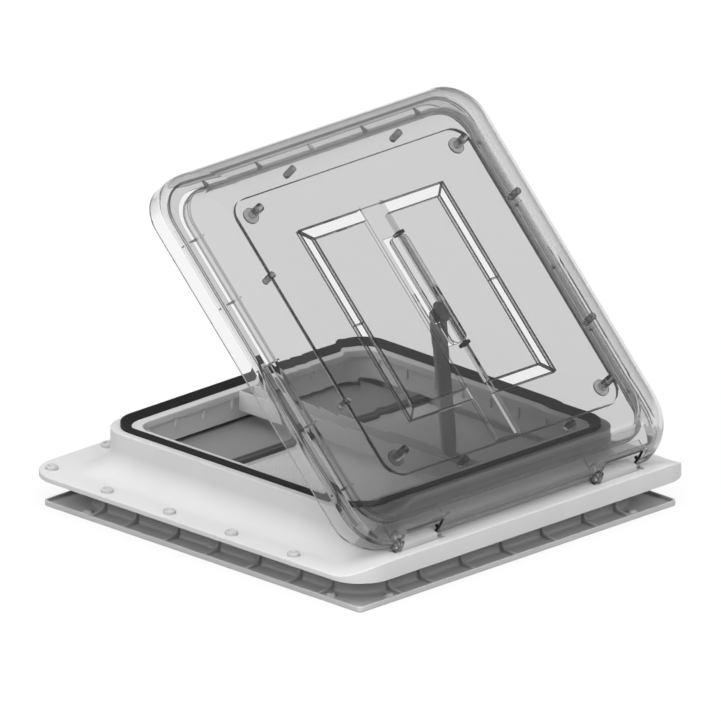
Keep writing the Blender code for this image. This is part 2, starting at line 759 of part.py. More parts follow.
def build_shades(white, dark, cloth, net):
    """Build the tracks, cassettes, blind, screen and their end bars."""
    for side, name in ((-1.0, "left"), (1.0, "right")):
        body = bmesh.new()
        outline = [
            (TRACK_X[0], TRACK_FLOOR_Z[0]),
            (TRACK_X[1], TRACK_FLOOR_Z[0]),
            (TRACK_X[1], TRACK_TOP_Z),
            (TRACK_X[1] - TRACK_WALL, TRACK_TOP_Z),
            (TRACK_X[1] - TRACK_WALL, TRACK_FLOOR_Z[1]),
            (TRACK_X[0], TRACK_FLOOR_Z[1]),
        ]
        mirrored = [(side * x, z) for x, z in outline]
        prism(body, mirrored, -TRACK_HALF_LENGTH, TRACK_HALF_LENGTH, along_y)
        add_object("side_track_" + name, body, white)

    for side, name in ((1.0, "blind"), (-1.0, "screen")):
        y_range = sorted((side * CASSETTE_Y[0], side * CASSETTE_Y[1]))
        body = bmesh.new()
        box(body, (-CASSETTE_HALF_X, CASSETTE_HALF_X), y_range, CASSETTE_Z)
        cassette = add_object(name + "_cassette", body, white)
        void = bmesh.new()
        inner_x = CASSETTE_HALF_X - CASSETTE_WALL
        box(
            void,
            (-inner_x, inner_x),
            (y_range[0] + CASSETTE_WALL, y_range[1] - CASSETTE_WALL),
            (CASSETTE_Z[0] + CASSETTE_WALL, CASSETTE_Z[1] - CASSETTE_WALL),
        )
        combine(cassette, add_tool("tool_%s_void" % name, void), "DIFFERENCE")
        slot = bmesh.new()
        slot_y = sorted((side * (CASSETTE_Y[0] - CUT_PAST), side * (CASSETTE_Y[0] + CASSETTE_SLOT_DEPTH)))
        slot_half = SHADE_HALF_X + CASSETTE_SLOT_SIDE
        box(slot, (-slot_half, slot_half), slot_y, CASSETTE_SLOT_Z)
        combine(cassette, add_tool("tool_%s_slot" % name, slot), "DIFFERENCE")

    body = bmesh.new()
    box(body, (-SHADE_HALF_X, SHADE_HALF_X), (BLIND_BAR_Y[1] + SEAT_GAP, SHADE_TUCK_Y), SHADE_Z)
    add_object("blind_fabric", body, cloth)

    for name, y_range in (("blind_end_bar", BLIND_BAR_Y), ("screen_end_bar", SCREEN_BAR_Y)):
        body = bmesh.new()
        low, high = y_range
        outline = [
            (low, BAR_Z[0]),
            (high, BAR_Z[0]),
            (high, BAR_Z[1] - BAR_CHAMFER),
            (high - BAR_CHAMFER, BAR_Z[1]),
            (low + BAR_CHAMFER, BAR_Z[1]),
            (low, BAR_Z[1] - BAR_CHAMFER),
        ]
        prism(body, outline, -BAR_HALF_X, BAR_HALF_X, along_x)
        add_object(name, body, dark)

    body = bmesh.new()
    lattice(body, (-SHADE_HALF_X, SHADE_HALF_X), (-SHADE_TUCK_Y, SCREEN_BAR_Y[0] - SEAT_GAP), SHADE_Z)
    add_object("flyscreen_net", body, net)


def strand_edges(low, high, gaps):
    """List where strands and gaps begin along one direction."""
    pitch = (high - low - NET_STRAND) / gaps
    edges = []
    for number in range(gaps + 1):
        edges += [low + pitch * number, low + pitch * number + NET_STRAND]
    return edges


def lattice(body, x_range, y_range, z_range):
    """Add a flat net as one closed body."""
    xs = strand_edges(x_range[0], x_range[1], NET_GAPS_X)
    ys = strand_edges(y_range[0], y_range[1], NET_GAPS_Y)
    layers = []
    for z in z_range:
        layers.append([[body.verts.new((x, y, z)) for y in ys] for x in xs])

    def solid(column, row):
        """Tell whether a cell is strand."""
        if not 0 <= column < len(xs) - 1 or not 0 <= row < len(ys) - 1:
            return False
        return column % 2 == 0 or row % 2 == 0

    for column in range(len(xs) - 1):
        for row in range(len(ys) - 1):
            if not solid(column, row):
                continue
            ring = [(column, row), (column + 1, row), (column + 1, row + 1), (column, row + 1)]
            for layer in layers:
                body.faces.new([layer[i][j] for i, j in ring])
            beside = [(column, row - 1), (column + 1, row), (column, row + 1), (column - 1, row)]
            for place, (i, j) in enumerate(beside):
                if not solid(i, j):
                    first = ring[place]
                    second = ring[(place + 1) % 4]
                    low = [layers[0][p][q] for p, q in (first, second)]
                    high = [layers[1][p][q] for p, q in (second, first)]
                    body.faces.new(low + high)


def build_bridge(white, dark, steel):
    """Build the bridge, the arm's bracket and its pin."""
    body = bmesh.new()
    inner = BRIDGE_HALF_WIDTH - BRIDGE_WALL
    outline = [
        (-BRIDGE_HALF_WIDTH, BRIDGE_FOOT_Z),
        (BRIDGE_HALF_WIDTH, BRIDGE_FOOT_Z),
        (BRIDGE_HALF_WIDTH, BRIDGE_TOP_Z),
        (inner, BRIDGE_TOP_Z),
        (inner, BRIDGE_FLOOR_Z),
        (-inner, BRIDGE_FLOOR_Z),
        (-inner, BRIDGE_TOP_Z),
        (-BRIDGE_HALF_WIDTH, BRIDGE_TOP_Z),
    ]
    end = WELL_HALF - SEAT_GAP
    prism(body, outline, -end, end, along_y)
    add_object("bridge_beam", body, white)

    foot = BRIDGE_FLOOR_Z + SEAT_GAP
    low = ARM_FOOT_Y - BRACKET_HALF_LENGTH
    high = ARM_FOOT_Y + BRACKET_HALF_LENGTH
    body = bmesh.new()
    cheek = [(low, foot), (high, foot)]
    dome = BRACKET_TOP_Z - BRACKET_DOME
    for step in range(BRACKET_DOME_STEPS + 1):
        turn = math.radians(180.0 * step / BRACKET_DOME_STEPS)
        reach = BRACKET_HALF_LENGTH * math.cos(turn)
        cheek.append((ARM_FOOT_Y + reach, dome + BRACKET_DOME * math.sin(turn)))
    prism(body, cheek, -BRACKET_CHEEK_OUT, BRACKET_CHEEK_OUT, along_x)
    bracket = add_object("arm_bracket", body, dark)
    void = bmesh.new()
    box(
        void,
        (-BRACKET_CHEEK_IN, BRACKET_CHEEK_IN),
        (low - CUT_PAST, high + CUT_PAST),
        (foot + BRACKET_FLOOR, BRACKET_TOP_Z + CUT_PAST),
    )
    combine(bracket, add_tool("tool_bracket_void", void), "DIFFERENCE")
    hole = bmesh.new()
    reach = PIN_BORE_REACH
    rod(hole, (-reach, ARM_FOOT_Y, ARM_FOOT_Z), (reach, ARM_FOOT_Y, ARM_FOOT_Z), ARM_FOOT_BORE_R)
    combine(bracket, add_tool("tool_bracket_hole", hole), "DIFFERENCE")

    body = bmesh.new()
    reach = BRACKET_CHEEK_OUT
    rod(body, (-reach, ARM_FOOT_Y, ARM_FOOT_Z), (reach, ARM_FOOT_Y, ARM_FOOT_Z), ARM_FOOT_PIN_R)
    add_object("arm_pivot_pin", body, steel)


def arm_outline(length):
    """Outline of the arm's strap, foot to forked head."""
    head = length - ARM_PAD_LENGTH
    ear = ARM_HEAD_HALF_WIDTH - ARM_EAR_INSET
    right = [(ARM_FOOT_HALF_WIDTH, 0.0)]
    right += [(ARM_FOOT_HALF_WIDTH + out, ARM_FOOT_LENGTH + along) for out, along in ARM_NECK]
    right += [
        (ARM_HALF_WIDTH, ARM_FOOT_LENGTH + ARM_NECK_END),
        (ARM_HALF_WIDTH, head),
        (ARM_HEAD_HALF_WIDTH, head + ARM_HEAD_FLARE),
        (ARM_HEAD_HALF_WIDTH, length - ARM_EAR_STEP[0]),
        (ear, length - ARM_EAR_STEP[1]),
        (ear, length + ARM_EAR_END),
        (ARM_FORK_HALF, length + ARM_EAR_END),
        (ARM_FORK_HALF, length - ARM_FORK_DEPTH),
    ]
    left = [(-x, y) for x, y in reversed(right)]
    return right + left


def build_arm(dark, steel, arm_axis, slide_axis, length):
    """Build the lift arm, the slide block and its pin."""
    half = ARM_THICKNESS / 2.0
    body = bmesh.new()
    prism(body, arm_outline(length), -half, half, along_z)
    arm = add_object("lift_arm", body, dark, arm_axis)
    joins = bmesh.new()
    foot = ARM_FOOT_HALF_WIDTH + JOIN_SINK
    rod(joins, (-foot, 0.0, 0.0), (foot, 0.0, 0.0), ARM_FOOT_KNUCKLE_R)
    ear = ARM_HEAD_HALF_WIDTH - ARM_EAR_INSET
    for side in (-1.0, 1.0):
        near = side * (ARM_FORK_HALF - JOIN_SINK)
        far = side * (ear + JOIN_SINK)
        rod(joins, (near, length, 0.0), (far, length, 0.0), ARM_HEAD_KNUCKLE_R)
    pad = []
    pad_half = ARM_HEAD_HALF_WIDTH - ARM_PAD_INSET
    pad_low = length - ARM_PAD_LENGTH + ARM_PAD_START + pad_half
    for step in range(ARM_PAD_STEPS + 1):
        turn = math.radians(180.0 + 180.0 * step / ARM_PAD_STEPS)
        pad.append((pad_half * math.cos(turn), pad_low + pad_half * math.sin(turn)))
    pad += [(pad_half, length - ARM_PAD_STOP), (-pad_half, length - ARM_PAD_STOP)]
    prism(joins, pad, -half - ARM_PAD_RISE, half + ARM_PAD_RISE, along_z)
    combine(arm, add_tool("tool_arm_joins", joins, arm_axis), "UNION")
    bores = bmesh.new()
    bore_reach = PIN_BORE_REACH
    rod(bores, (-bore_reach, 0.0, 0.0), (bore_reach, 0.0, 0.0), ARM_FOOT_BORE_R)
    rod(bores, (-bore_reach, length, 0.0), (bore_reach, length, 0.0), ARM_HEAD_BORE_R)
    combine(arm, add_tool("tool_arm_bores", bores, arm_axis), "DIFFERENCE")

    body = bmesh.new()
    neck = ARM_FORK_HALF - BLOCK_SIDE_GAP
    box(body, (-neck, neck), (-BLOCK_HALF_LENGTH, BLOCK_HALF_LENGTH), BLOCK_B)
    block = add_object("slide_block", body, dark, slide_axis)
    head = bmesh.new()
    head_half = RAIL_CAVITY_HALF - BLOCK_HEAD_SIDE_GAP
    head_low = RAIL_LIP_TOP_B + BLOCK_HEAD_FLOAT - SLIDE_B
    head_high = RAIL_CEILING_B - BLOCK_HEAD_FLOAT - SLIDE_B
    head_end = BLOCK_HEAD_HALF_LENGTH
    box(head, (-head_half, head_half), (-head_end, head_end), (head_low, head_high))
    stem = bmesh.new()
    stem_half = neck - BLOCK_STEM_INSET
    stem_end = BLOCK_HALF_LENGTH - BLOCK_STEM_INSET
    box(stem, (-stem_half, stem_half), (-stem_end, stem_end), (BLOCK_STEM_B, head_low + BLOCK_STEM_SINK))
    combine(block, add_tool("tool_block_stem", stem, slide_axis), "UNION")
    combine(block, add_tool("tool_block_head", head, slide_axis), "UNION")
    bore = bmesh.new()
    rod(bore, (-bore_reach, 0.0, 0.0), (bore_reach, 0.0, 0.0), ARM_HEAD_BORE_R)
    combine(block, add_tool("tool_block_bore", bore, slide_axis), "DIFFERENCE")

    body = bmesh.new()
    rod(body, (-ear, 0.0, 0.0), (ear, 0.0, 0.0), ARM_HEAD_PIN_R)
    add_object("slide_pin", body, steel, slide_axis)


def build_lid(clear, panel_clear, clip_black, rail_grey, stud_dark, lid_axis):
    """Build the two skins of the lid, the pieces between them and the rail."""
    body = bmesh.new()
    sweep_square(body, skin_section, lid_radius, LID_CENTRE_A, closed=False)
    skin = add_object("lid_outer_skin", body, clear, lid_axis)
    notches = bmesh.new()
    for side in (-1.0, 1.0):
        middle = side * HINGE_CENTRE_X
        box(
            notches,
            (middle - HINGE_SEAT_HALF_X, middle + HINGE_SEAT_HALF_X),
            LID_NOTCH_A,
            LID_NOTCH_B,
        )
    combine(skin, add_tool("tool_skin_notches", notches, lid_axis), "DIFFERENCE")

    body = bmesh.new()
    sweep_square(body, panel_section, lid_radius, LID_CENTRE_A, closed=False)
    panel = add_object("lid_inner_panel", body, panel_clear, lid_axis)
    top = PANEL_UNDERSIDE_B + PANEL_SKIN
    joins = bmesh.new()
    wall = PANEL_SKIN
    box(
        joins,
        (-TROUGH_HALF - wall, TROUGH_HALF + wall),
        (TROUGH_A[0] - wall, TROUGH_A[1] + wall),
        (PANEL_UNDERSIDE_B + PANEL_SINK, TROUGH_TOP_B),
    )
    for place in TAB_PLACES:
        add_tabs(joins, place)
    combine(panel, add_tool("tool_panel_joins", joins, lid_axis), "UNION")
    border = bmesh.new()
    field_frame(border, (-FIELD_HALF, FIELD_HALF), FIELD_A, top)
    combine(panel, add_tool("tool_panel_border", border, lid_axis), "UNION")
    void = bmesh.new()
    box(void, (-TROUGH_HALF, TROUGH_HALF), TROUGH_A, (PANEL_UNDERSIDE_B - CUT_PAST, TROUGH_CEILING_B))
    combine(panel, add_tool("tool_panel_trough", void, lid_axis), "DIFFERENCE")
    slot = bmesh.new()
    box(slot, (-SLOT_HALF, SLOT_HALF), SLOT_A, (PANEL_UNDERSIDE_B, TROUGH_TOP_B + CUT_PAST))
    combine(panel, add_tool("tool_panel_slot", slot, lid_axis), "DIFFERENCE")

    seat = top + SEAT_GAP
    skin_under = LID_TOP_B - LID_SKIN
    boss = [
        (0.0, skin_under - SEAT_GAP),
        (BOSS_STUD_R, skin_under - SEAT_GAP),
        (BOSS_STUD_R, seat + BOSS_FOOT),
        (BOSS_R, seat + BOSS_FOOT),
        (BOSS_R, seat),
        (0.0, seat),
    ]
    for number, (x, y) in enumerate(corner_places(BOSS_OFFSET), 1):
        turned("corner_boss_%d" % number, boss, stud_dark, (x, LID_CENTRE_A + y, 0.0), lid_axis)

    pin = [(0.0, SPACER_TOP_B), (SPACER_R, SPACER_TOP_B), (SPACER_R, seat), (0.0, seat)]
    places = [(x * SPACER_STEP, y * SPACER_LINE) for y in (-1.0, 1.0) for x in (-1.0, 1.0)]
    places += [(x * SPACER_LINE, y * SPACER_STEP) for x in (-1.0, 1.0) for y in (-1.0, 1.0)]
    for number, (x, y) in enumerate(places, 1):
        place = (x, LID_CENTRE_A + y, 0.0)
        turned("spacer_pin_%d" % number, pin, stud_dark, place, lid_axis, SMALL_SIDES)

    low, high = RAIL_B
    right = [
        (RAIL_LIP_HALF, low),
        (RAIL_HALF_WIDTH, low),
        (RAIL_HALF_WIDTH, high),
    ]
    inner = [
        (-RAIL_CAVITY_HALF, RAIL_CEILING_B),
        (RAIL_CAVITY_HALF, RAIL_CEILING_B),
        (RAIL_CAVITY_HALF, RAIL_LIP_TOP_B),
        (RAIL_LIP_HALF, RAIL_LIP_TOP_B),
    ]
    outline = right + [(-x, z) for x, z in reversed(right)]
    outline += [(-RAIL_LIP_HALF, RAIL_LIP_TOP_B), (-RAIL_CAVITY_HALF, RAIL_LIP_TOP_B)] + inner
    body = bmesh.new()
    prism(body, outline, RAIL_A[0], RAIL_A[1], along_y)
    add_object("guide_rail", body, rail_grey, lid_axis)
    clip_foot = TROUGH_TOP_B + SEAT_GAP
    for name, end in (("lower", RAIL_A[0] - SEAT_GAP - CLIP_LENGTH), ("upper", RAIL_A[1] + SEAT_GAP)):
        body = bmesh.new()
        box(body, (-RAIL_HALF_WIDTH, RAIL_HALF_WIDTH), (end, end + CLIP_LENGTH), (clip_foot, high))
        add_object("rail_clip_" + name, body, clip_black, lid_axis)


def field_frame(body, x_range, y_range, top):
    """Add one raised, bevelled rectangular border on the inner panel."""
    inset, low = FIELD_EDGE
    steps = [
        (0.0, top - FIELD_SINK),
        (0.0, top + low),
        (inset, top + FIELD_HEIGHT),
        (FIELD_BEVEL - inset, top + FIELD_HEIGHT),
        (FIELD_BEVEL, top + low),
        (FIELD_BEVEL, top - FIELD_SINK),
    ]
    loops = []
    for inset, height in steps:
        x0, x1 = x_range[0] + inset, x_range[1] - inset
        y0, y1 = y_range[0] + inset, y_range[1] - inset
        ring = ((x0, y0), (x1, y0), (x1, y1), (x0, y1))
        loops.append([body.verts.new((x, y, height)) for x, y in ring])
    for row in range(len(loops)):
        here = loops[row]
        there = loops[(row + 1) % len(loops)]
        for place in range(4):
            after = (place + 1) % 4
            body.faces.new((here[place], here[after], there[after], there[place]))


def add_tabs(body, place):
    """Add the four small gussets at one place along the panel's edges."""
    half = TAB_THICKNESS / 2.0
    clear = LID_SHELF_B + LID_SHELF + SEAT_GAP
    outline = [
        (PANEL_EDGE_HALF + TAB_ROOT[0], TAB_ROOT[1]),
        (PANEL_EDGE_HALF + TAB_TIP[0], clear + TAB_TIP[1]),
        (PANEL_EDGE_HALF + TAB_TIP[0], clear),
        (PANEL_EDGE_HALF + TAB_HEEL[0], clear + TAB_HEEL[1]),
    ]
    for side in (-1.0, 1.0):
        across = [(side * reach, height) for reach, height in outline]
        prism(body, across, LID_CENTRE_A + place - half, LID_CENTRE_A + place + half, along_y)
        near_hinge = side < 0.0 and abs(place) > TAB_HINGE_CLEAR
        if not near_hinge:
            along = [(LID_CENTRE_A + side * reach, height) for reach, height in outline]
            prism(body, along, place - half, place + half, along_x)


def knuckle_end(x, inset):
    """List the corners of one end of a hinge knuckle, foot to ridge and back; inset leans the hip inward."""
    eaves = HINGE_Z + KNUCKLE_EAVES_Z
    ridge = HINGE_Z + KNUCKLE_RIDGE_Z
    return [
        (x, HINGE_Y + KNUCKLE_FRONT, KNUCKLE_FOOT_Z),
        (x, HINGE_Y + KNUCKLE_FRONT, eaves),
        (x + inset, HINGE_Y + KNUCKLE_RIDGE, ridge),
        (x + inset, HINGE_Y + KNUCKLE_BACK, ridge),
        (x, HINGE_Y + KNUCKLE_BACK, eaves),
        (x, HINGE_Y + KNUCKLE_BACK, KNUCKLE_FOOT_Z),
    ]


def add_knuckle(body, middle):
    """Add one hinge block: upright front, sloped top and hipped ends."""
    near = [body.verts.new(point) for point in knuckle_end(middle - KNUCKLE_HALF_X, KNUCKLE_HIP)]
    far = [body.verts.new(point) for point in knuckle_end(middle + KNUCKLE_HALF_X, -KNUCKLE_HIP)]
    for end in (near, far):
        body.faces.new((end[0], end[1], end[4], end[5]))
        body.faces.new((end[1], end[2], end[3], end[4]))
    for place in range(len(near)):
        after = (place + 1) % len(near)
        body.faces.new((near[place], near[after], far[after], far[place]))


def build_hinges(white, steel, lid_axis):
    """Build the hinge knuckles on the deck, the pins and the lid's leaves."""
    for side, name in ((-1.0, "left"), (1.0, "right")):
        middle = side * HINGE_CENTRE_X
        bore_ends = (middle - HINGE_BORE_REACH, middle + HINGE_BORE_REACH)
        body = bmesh.new()
        add_knuckle(body, middle)
        knuckle = add_object("hinge_knuckle_" + name, body, white)
        bore = bmesh.new()
        rod(bore, (bore_ends[0], HINGE_Y, HINGE_Z), (bore_ends[1], HINGE_Y, HINGE_Z), HINGE_BORE_R)
        combine(knuckle, add_tool("tool_knuckle_bore_" + name, bore), "DIFFERENCE")

        body = bmesh.new()
        reach = LEAF_RING_OUT
        rod(body, (middle - reach, HINGE_Y, HINGE_Z), (middle + reach, HINGE_Y, HINGE_Z), HINGE_PIN_R)
        add_object("hinge_pin_" + name, body, steel)

        body = bmesh.new()
        plate_top = LEAF_PLATE_B + LEAF_PLATE
        box(body, (middle - LEAF_HALF_X, middle + LEAF_HALF_X), LEAF_PLATE_A, (LEAF_PLATE_B, plate_top))
        leaf = add_object("hinge_leaf_" + name, body, white, lid_axis)
        joins = bmesh.new()
        upright_half = LEAF_HALF_X - LEAF_UPRIGHT_INSET
        box(joins, (middle - upright_half, middle + upright_half), LEAF_UPRIGHT_A, LEAF_UPRIGHT_B)
        for edge in (-1.0, 1.0):
            span = sorted((middle + edge * LEAF_RING_IN, middle + edge * LEAF_RING_OUT))
            rounded = [
                (LEAF_RING_ROOT, LEAF_PLATE_B + LEAF_RING_SINK[0]),
                (LEAF_RING_ROOT, plate_top - LEAF_RING_SINK[1]),
                (LEAF_RING_TIP, plate_top - LEAF_RING_SINK[1]),
            ]
            for step in range(LEAF_RING_STEPS + 1):
                turn = math.radians(mix(LEAF_RING_DEG[0], LEAF_RING_DEG[1], step / LEAF_RING_STEPS))
                rounded.append((LEAF_RING_R * math.cos(turn), LEAF_RING_R * math.sin(turn)))
            prism(joins, rounded, span[0], span[1], along_x)
        combine(leaf, add_tool("tool_leaf_joins_" + name, joins, lid_axis), "UNION")
        bore = bmesh.new()
        rod(bore, (bore_ends[0], 0.0, 0.0), (bore_ends[1], 0.0, 0.0), HINGE_BORE_R)
        combine(leaf, add_tool("tool_leaf_bore_" + name, bore, lid_axis), "DIFFERENCE")


def build_part():
    """Build every piece of the roof light."""
    white = make_material("white_abs_moulding", "EDEDEB", 0.45)
    trim_white = make_material("white_interior_trim", "E4E4E2", 0.5)
    steel = make_material("zinc_plated_steel", "B9BCBE", 0.35, metallic=1.0)
    head_white = make_material("white_capped_screw", "E9E9E7", 0.4)
    rubber = make_material("black_rubber", "202022", 0.75)
    clear = make_material("clear_outer_acrylic", "EAF0F2", 0.05, transmission=0.9)
    panel_clear = make_material("clear_inner_acrylic", "DDE4E7", 0.08, transmission=0.85)
    arm_grey = make_material("grey_glass_filled_nylon", "6E7073", 0.5)
    bar_grey = make_material("dark_grey_end_bar", "55575A", 0.5)
    rail_grey = make_material("grey_extruded_rail", "8A8D90", 0.4)
    clip_black = make_material("black_nylon_clip", "1B1B1D", 0.55)
    stud_dark = make_material("smoked_spacer", "5C6063", 0.4)
    cloth = make_material("grey_blackout_cloth", "7C7E80", 0.85)
    net = make_material("grey_flyscreen_mesh", "A9ABAC", 0.7)

    lid_axis = pivot("lid_pivot", (0.0, HINGE_Y, HINGE_Z), LID_OPEN_DEG)
    turn = math.radians(LID_OPEN_DEG)
    slide_y = HINGE_Y + SLIDE_A * math.cos(turn) - SLIDE_B * math.sin(turn)
    slide_z = HINGE_Z + SLIDE_A * math.sin(turn) + SLIDE_B * math.cos(turn)
    length = math.hypot(slide_y - ARM_FOOT_Y, slide_z - ARM_FOOT_Z)
    arm_turn = math.degrees(math.atan2(slide_z - ARM_FOOT_Z, slide_y - ARM_FOOT_Y))
    arm_axis = pivot("arm_pivot", (0.0, ARM_FOOT_Y, ARM_FOOT_Z), arm_turn)
    slide_axis = pivot("slide_pivot", (0.0, length, 0.0), LID_OPEN_DEG - arm_turn, arm_axis)

    build_outer_frame(white, head_white)
    build_seal(rubber)
    build_interior_frame(trim_white, steel)
    build_bridge(white, arm_grey, steel)
    build_shades(trim_white, bar_grey, cloth, net)
    build_hinges(white, steel, lid_axis)
    build_lid(clear, panel_clear, clip_black, rail_grey, stud_dark, lid_axis)
    build_arm(arm_grey, steel, arm_axis, slide_axis, length)


clear_scene()
PART = make_collection(PART_NAME)
TOOLS = make_collection("tools")
build_part()
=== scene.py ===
"""Looks of an opening roof light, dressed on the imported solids.

Sizes are in millimetres and meshes in metres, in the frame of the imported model: +Z is up, the lid's hinge
runs along X on the -Y side and z = 0 is the underside of the interior frame.  Lid pieces are drawn closed, in
the lid's own frame (x along the hinge, y outward from it, z along the lid's normal), then swung open.
"""
from __future__ import annotations

import json
import logging
import math
from collections.abc import Callable, Sequence
from dataclasses import dataclass, field
from enum import Enum
from functools import partial

import bmesh
import bpy
from bpy.types import Material, Node, NodeSocket, NodeTree, Object
from mathutils import Matrix, Vector

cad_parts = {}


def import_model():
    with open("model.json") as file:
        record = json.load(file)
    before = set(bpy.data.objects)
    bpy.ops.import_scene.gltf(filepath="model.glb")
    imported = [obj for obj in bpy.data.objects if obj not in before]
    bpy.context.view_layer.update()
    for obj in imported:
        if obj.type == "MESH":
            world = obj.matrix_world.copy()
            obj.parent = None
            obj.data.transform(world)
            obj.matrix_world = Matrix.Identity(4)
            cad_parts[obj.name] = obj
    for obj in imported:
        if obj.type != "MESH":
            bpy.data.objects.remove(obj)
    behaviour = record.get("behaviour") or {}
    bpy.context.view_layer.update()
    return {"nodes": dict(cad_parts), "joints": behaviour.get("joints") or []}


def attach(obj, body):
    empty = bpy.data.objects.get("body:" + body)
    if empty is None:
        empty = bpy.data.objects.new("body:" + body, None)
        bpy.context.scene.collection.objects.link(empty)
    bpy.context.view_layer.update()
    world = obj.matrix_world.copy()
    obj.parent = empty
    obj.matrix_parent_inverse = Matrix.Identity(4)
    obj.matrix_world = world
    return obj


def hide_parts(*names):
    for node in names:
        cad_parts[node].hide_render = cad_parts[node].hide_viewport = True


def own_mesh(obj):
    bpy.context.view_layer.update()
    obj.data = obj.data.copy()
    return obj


LOG = logging.getLogger("roof_light")

MM = 0.001
SIDES = (-1.0, 1.0)
WHITE = (1.0, 1.0, 1.0, 1.0)
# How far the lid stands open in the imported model, in degrees
OPENING = 45.0
# Left between pieces that sit on each other
GAP = 0.1
# Overlap of solids that are joined
SINK = 0.1
# How far a cutting tool reaches past what it cuts
PAST = 2.0
# Edges sharper than this many degrees stay hard
HARD = 32.0
# The range that most of a noise pattern lies in
NOISE_RANGE = (0.3, 0.7)
# Points nearer than this to a cutting plane, in metres, count as on it
TOUCH = 1e-6
# Halvings of a search, enough for a thousandth of a millimetre
HALVINGS = 30
# A normal with more than this along an axis faces that way
FACING = 0.9
# A normal with less than this along the lid's own normal belongs to an upright face
UPRIGHT = 0.5

Point = tuple[float, float]
Section = Callable[[float], list[Point]]


class Body(str, Enum):
    """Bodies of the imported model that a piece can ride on."""

    BASE = "base"
    LID = "lid"
    ARM = "arm"
    SLIDER = "slider"
    BLIND = "blind"
    SCREEN = "screen"


class Axis(Enum):
    """Direction along which an outline is extruded."""

    X = "x"
    Y = "y"
    Z = "z"


class Cut(str, Enum):
    """What a tool solid does to a piece."""

    JOIN = "UNION"
    TAKE = "DIFFERENCE"
    TRIM = "INTERSECT"


class Edge(float, Enum):
    """Width of the rounding on a piece's hard edges."""

    NONE = 0.0
    STUD = 0.2
    RIB = 0.25
    SMALL = 0.3
    STRAP = 0.4
    BEAM = 0.5
    BLOCK = 0.6
    BAR = 1.3


# Numbers and outlines


def mix(first: float, second: float, share: float) -> float:
    """Blend two numbers.

    Args:
        first: value at share 0.
        second: value at share 1.
        share: how far along, from 0 to 1.

    Returns:
        The blended value.
    """
    return first + (second - first) * share


def ease(share: float) -> float:
    """Ease a share so that it starts and ends level.

    Args:
        share: how far along, from 0 to 1.

    Returns:
        The eased share.
    """
    return share * share * (3.0 - 2.0 * share)


def span(middle: float, half: float) -> Point:
    """Give the two ends of a stretch.

    Args:
        middle: its middle.
        half: half its length.

    Returns:
        Its low and high end.
    """
    return (middle - half, middle + half)


def arc(centre: Point, radius: float, start: float, end: float, steps: int) -> list[Point]:
    """List the points of an arc.

    Args:
        centre: its middle.
        radius: its radius.
        start: first angle in degrees.
        end: last angle in degrees.
        steps: how many chords it is cut into.

    Returns:
        The points, both ends included.
    """
    turns = [math.radians(mix(start, end, step / steps)) for step in range(steps + 1)]
    return [(centre[0] + radius * math.cos(turn), centre[1] + radius * math.sin(turn)) for turn in turns]


def curve(first: Point, pull: Point, last: Point, steps: int) -> list[Point]:
    """List the points of a quadratic curve.

    Args:
        first: where it starts.
        pull: the point it leans to.
        last: where it ends.
        steps: how many chords it is cut into.

    Returns:
        The points, both ends included.
    """
    points = []
    for step in range(steps + 1):
        share = step / steps
        near, middle, far = (1.0 - share) ** 2, 2.0 * share * (1.0 - share), share ** 2
        points.append(tuple(near * a + middle * b + far * c for a, b, c in zip(first, pull, last)))
    return points


def linear(hex_code: str, alpha: float = 1.0) -> tuple[float, float, float, float]:
    """Turn an sRGB hex code into linear RGBA.

    Args:
        hex_code: six hex digits.
        alpha: the fourth value.

    Returns:
        Linear red, green, blue and alpha.
    """
    channels = []
    for start in (0, 2, 4):
        value = int(hex_code[start:start + 2], 16) / 255.0
        channels.append(value / 12.92 if value <= 0.04045 else ((value + 0.055) / 1.055) ** 2.4)
    return (*channels, alpha)


def corners(offset: float) -> list[Point]:
    """List the four corners of a square.

    Args:
        offset: half the square's side.

    Returns:
        Four x, y pairs.
    """
    return [(x * offset, y * offset) for x in SIDES for y in SIDES]


def four_sides(points: Sequence[Vector]) -> list[tuple[Vector, float]]:
    """Turn points on one side of a square to all four sides.

    Args:
        points: the points on the first side.

    Returns:
        Points, each with its turn in degrees.
    """
    places = []
    for turn in (0.0, 90.0, 180.0, 270.0):
        spin = Matrix.Rotation(math.radians(turn), 3, "Z")
        places += [(spin @ point, turn) for point in points]
    return places


# Nodes


def add_node(
    tree: NodeTree, kind: str, inputs: dict[str | int, object] | None = None, **settings: object
) -> Node:
    """Add a node with its settings and its links.

    Args:
        tree: the node tree.
        kind: the node's type name.
        inputs: socket names or numbers, each with a value or the socket that feeds it.
        settings: properties of the node itself.

    Returns:
        The new node.
    """
    node = tree.nodes.new(kind)
    for name, value in settings.items():
        setattr(node, name, value)
    for name, value in (inputs or {}).items():
        if isinstance(value, NodeSocket):
            tree.links.new(value, node.inputs[name])
        else:
            node.inputs[name].default_value = value
    return node


def new_material(name: str) -> tuple[Material, NodeTree]:
    """Start a material with an empty node tree.

    Args:
        name: the material's name.

    Returns:
        The material and its tree.
    """
    made = bpy.data.materials.new(name)
    made.use_nodes = True
    made.node_tree.nodes.clear()
    return made, made.node_tree


def close_material(made: Material, shader: NodeSocket, colour: str, alpha: float = 1.0) -> Material:
    """Feed a shader to a material's output.

    Args:
        made: the material.
        shader: the surface shader.
        colour: hex code that stands for it in the viewport.
        alpha: its opacity there.

    Returns:
        The material.
    """
    add_node(made.node_tree, "ShaderNodeOutputMaterial", {"Surface": shader})
    made.diffuse_color = linear(colour, alpha)
    return made


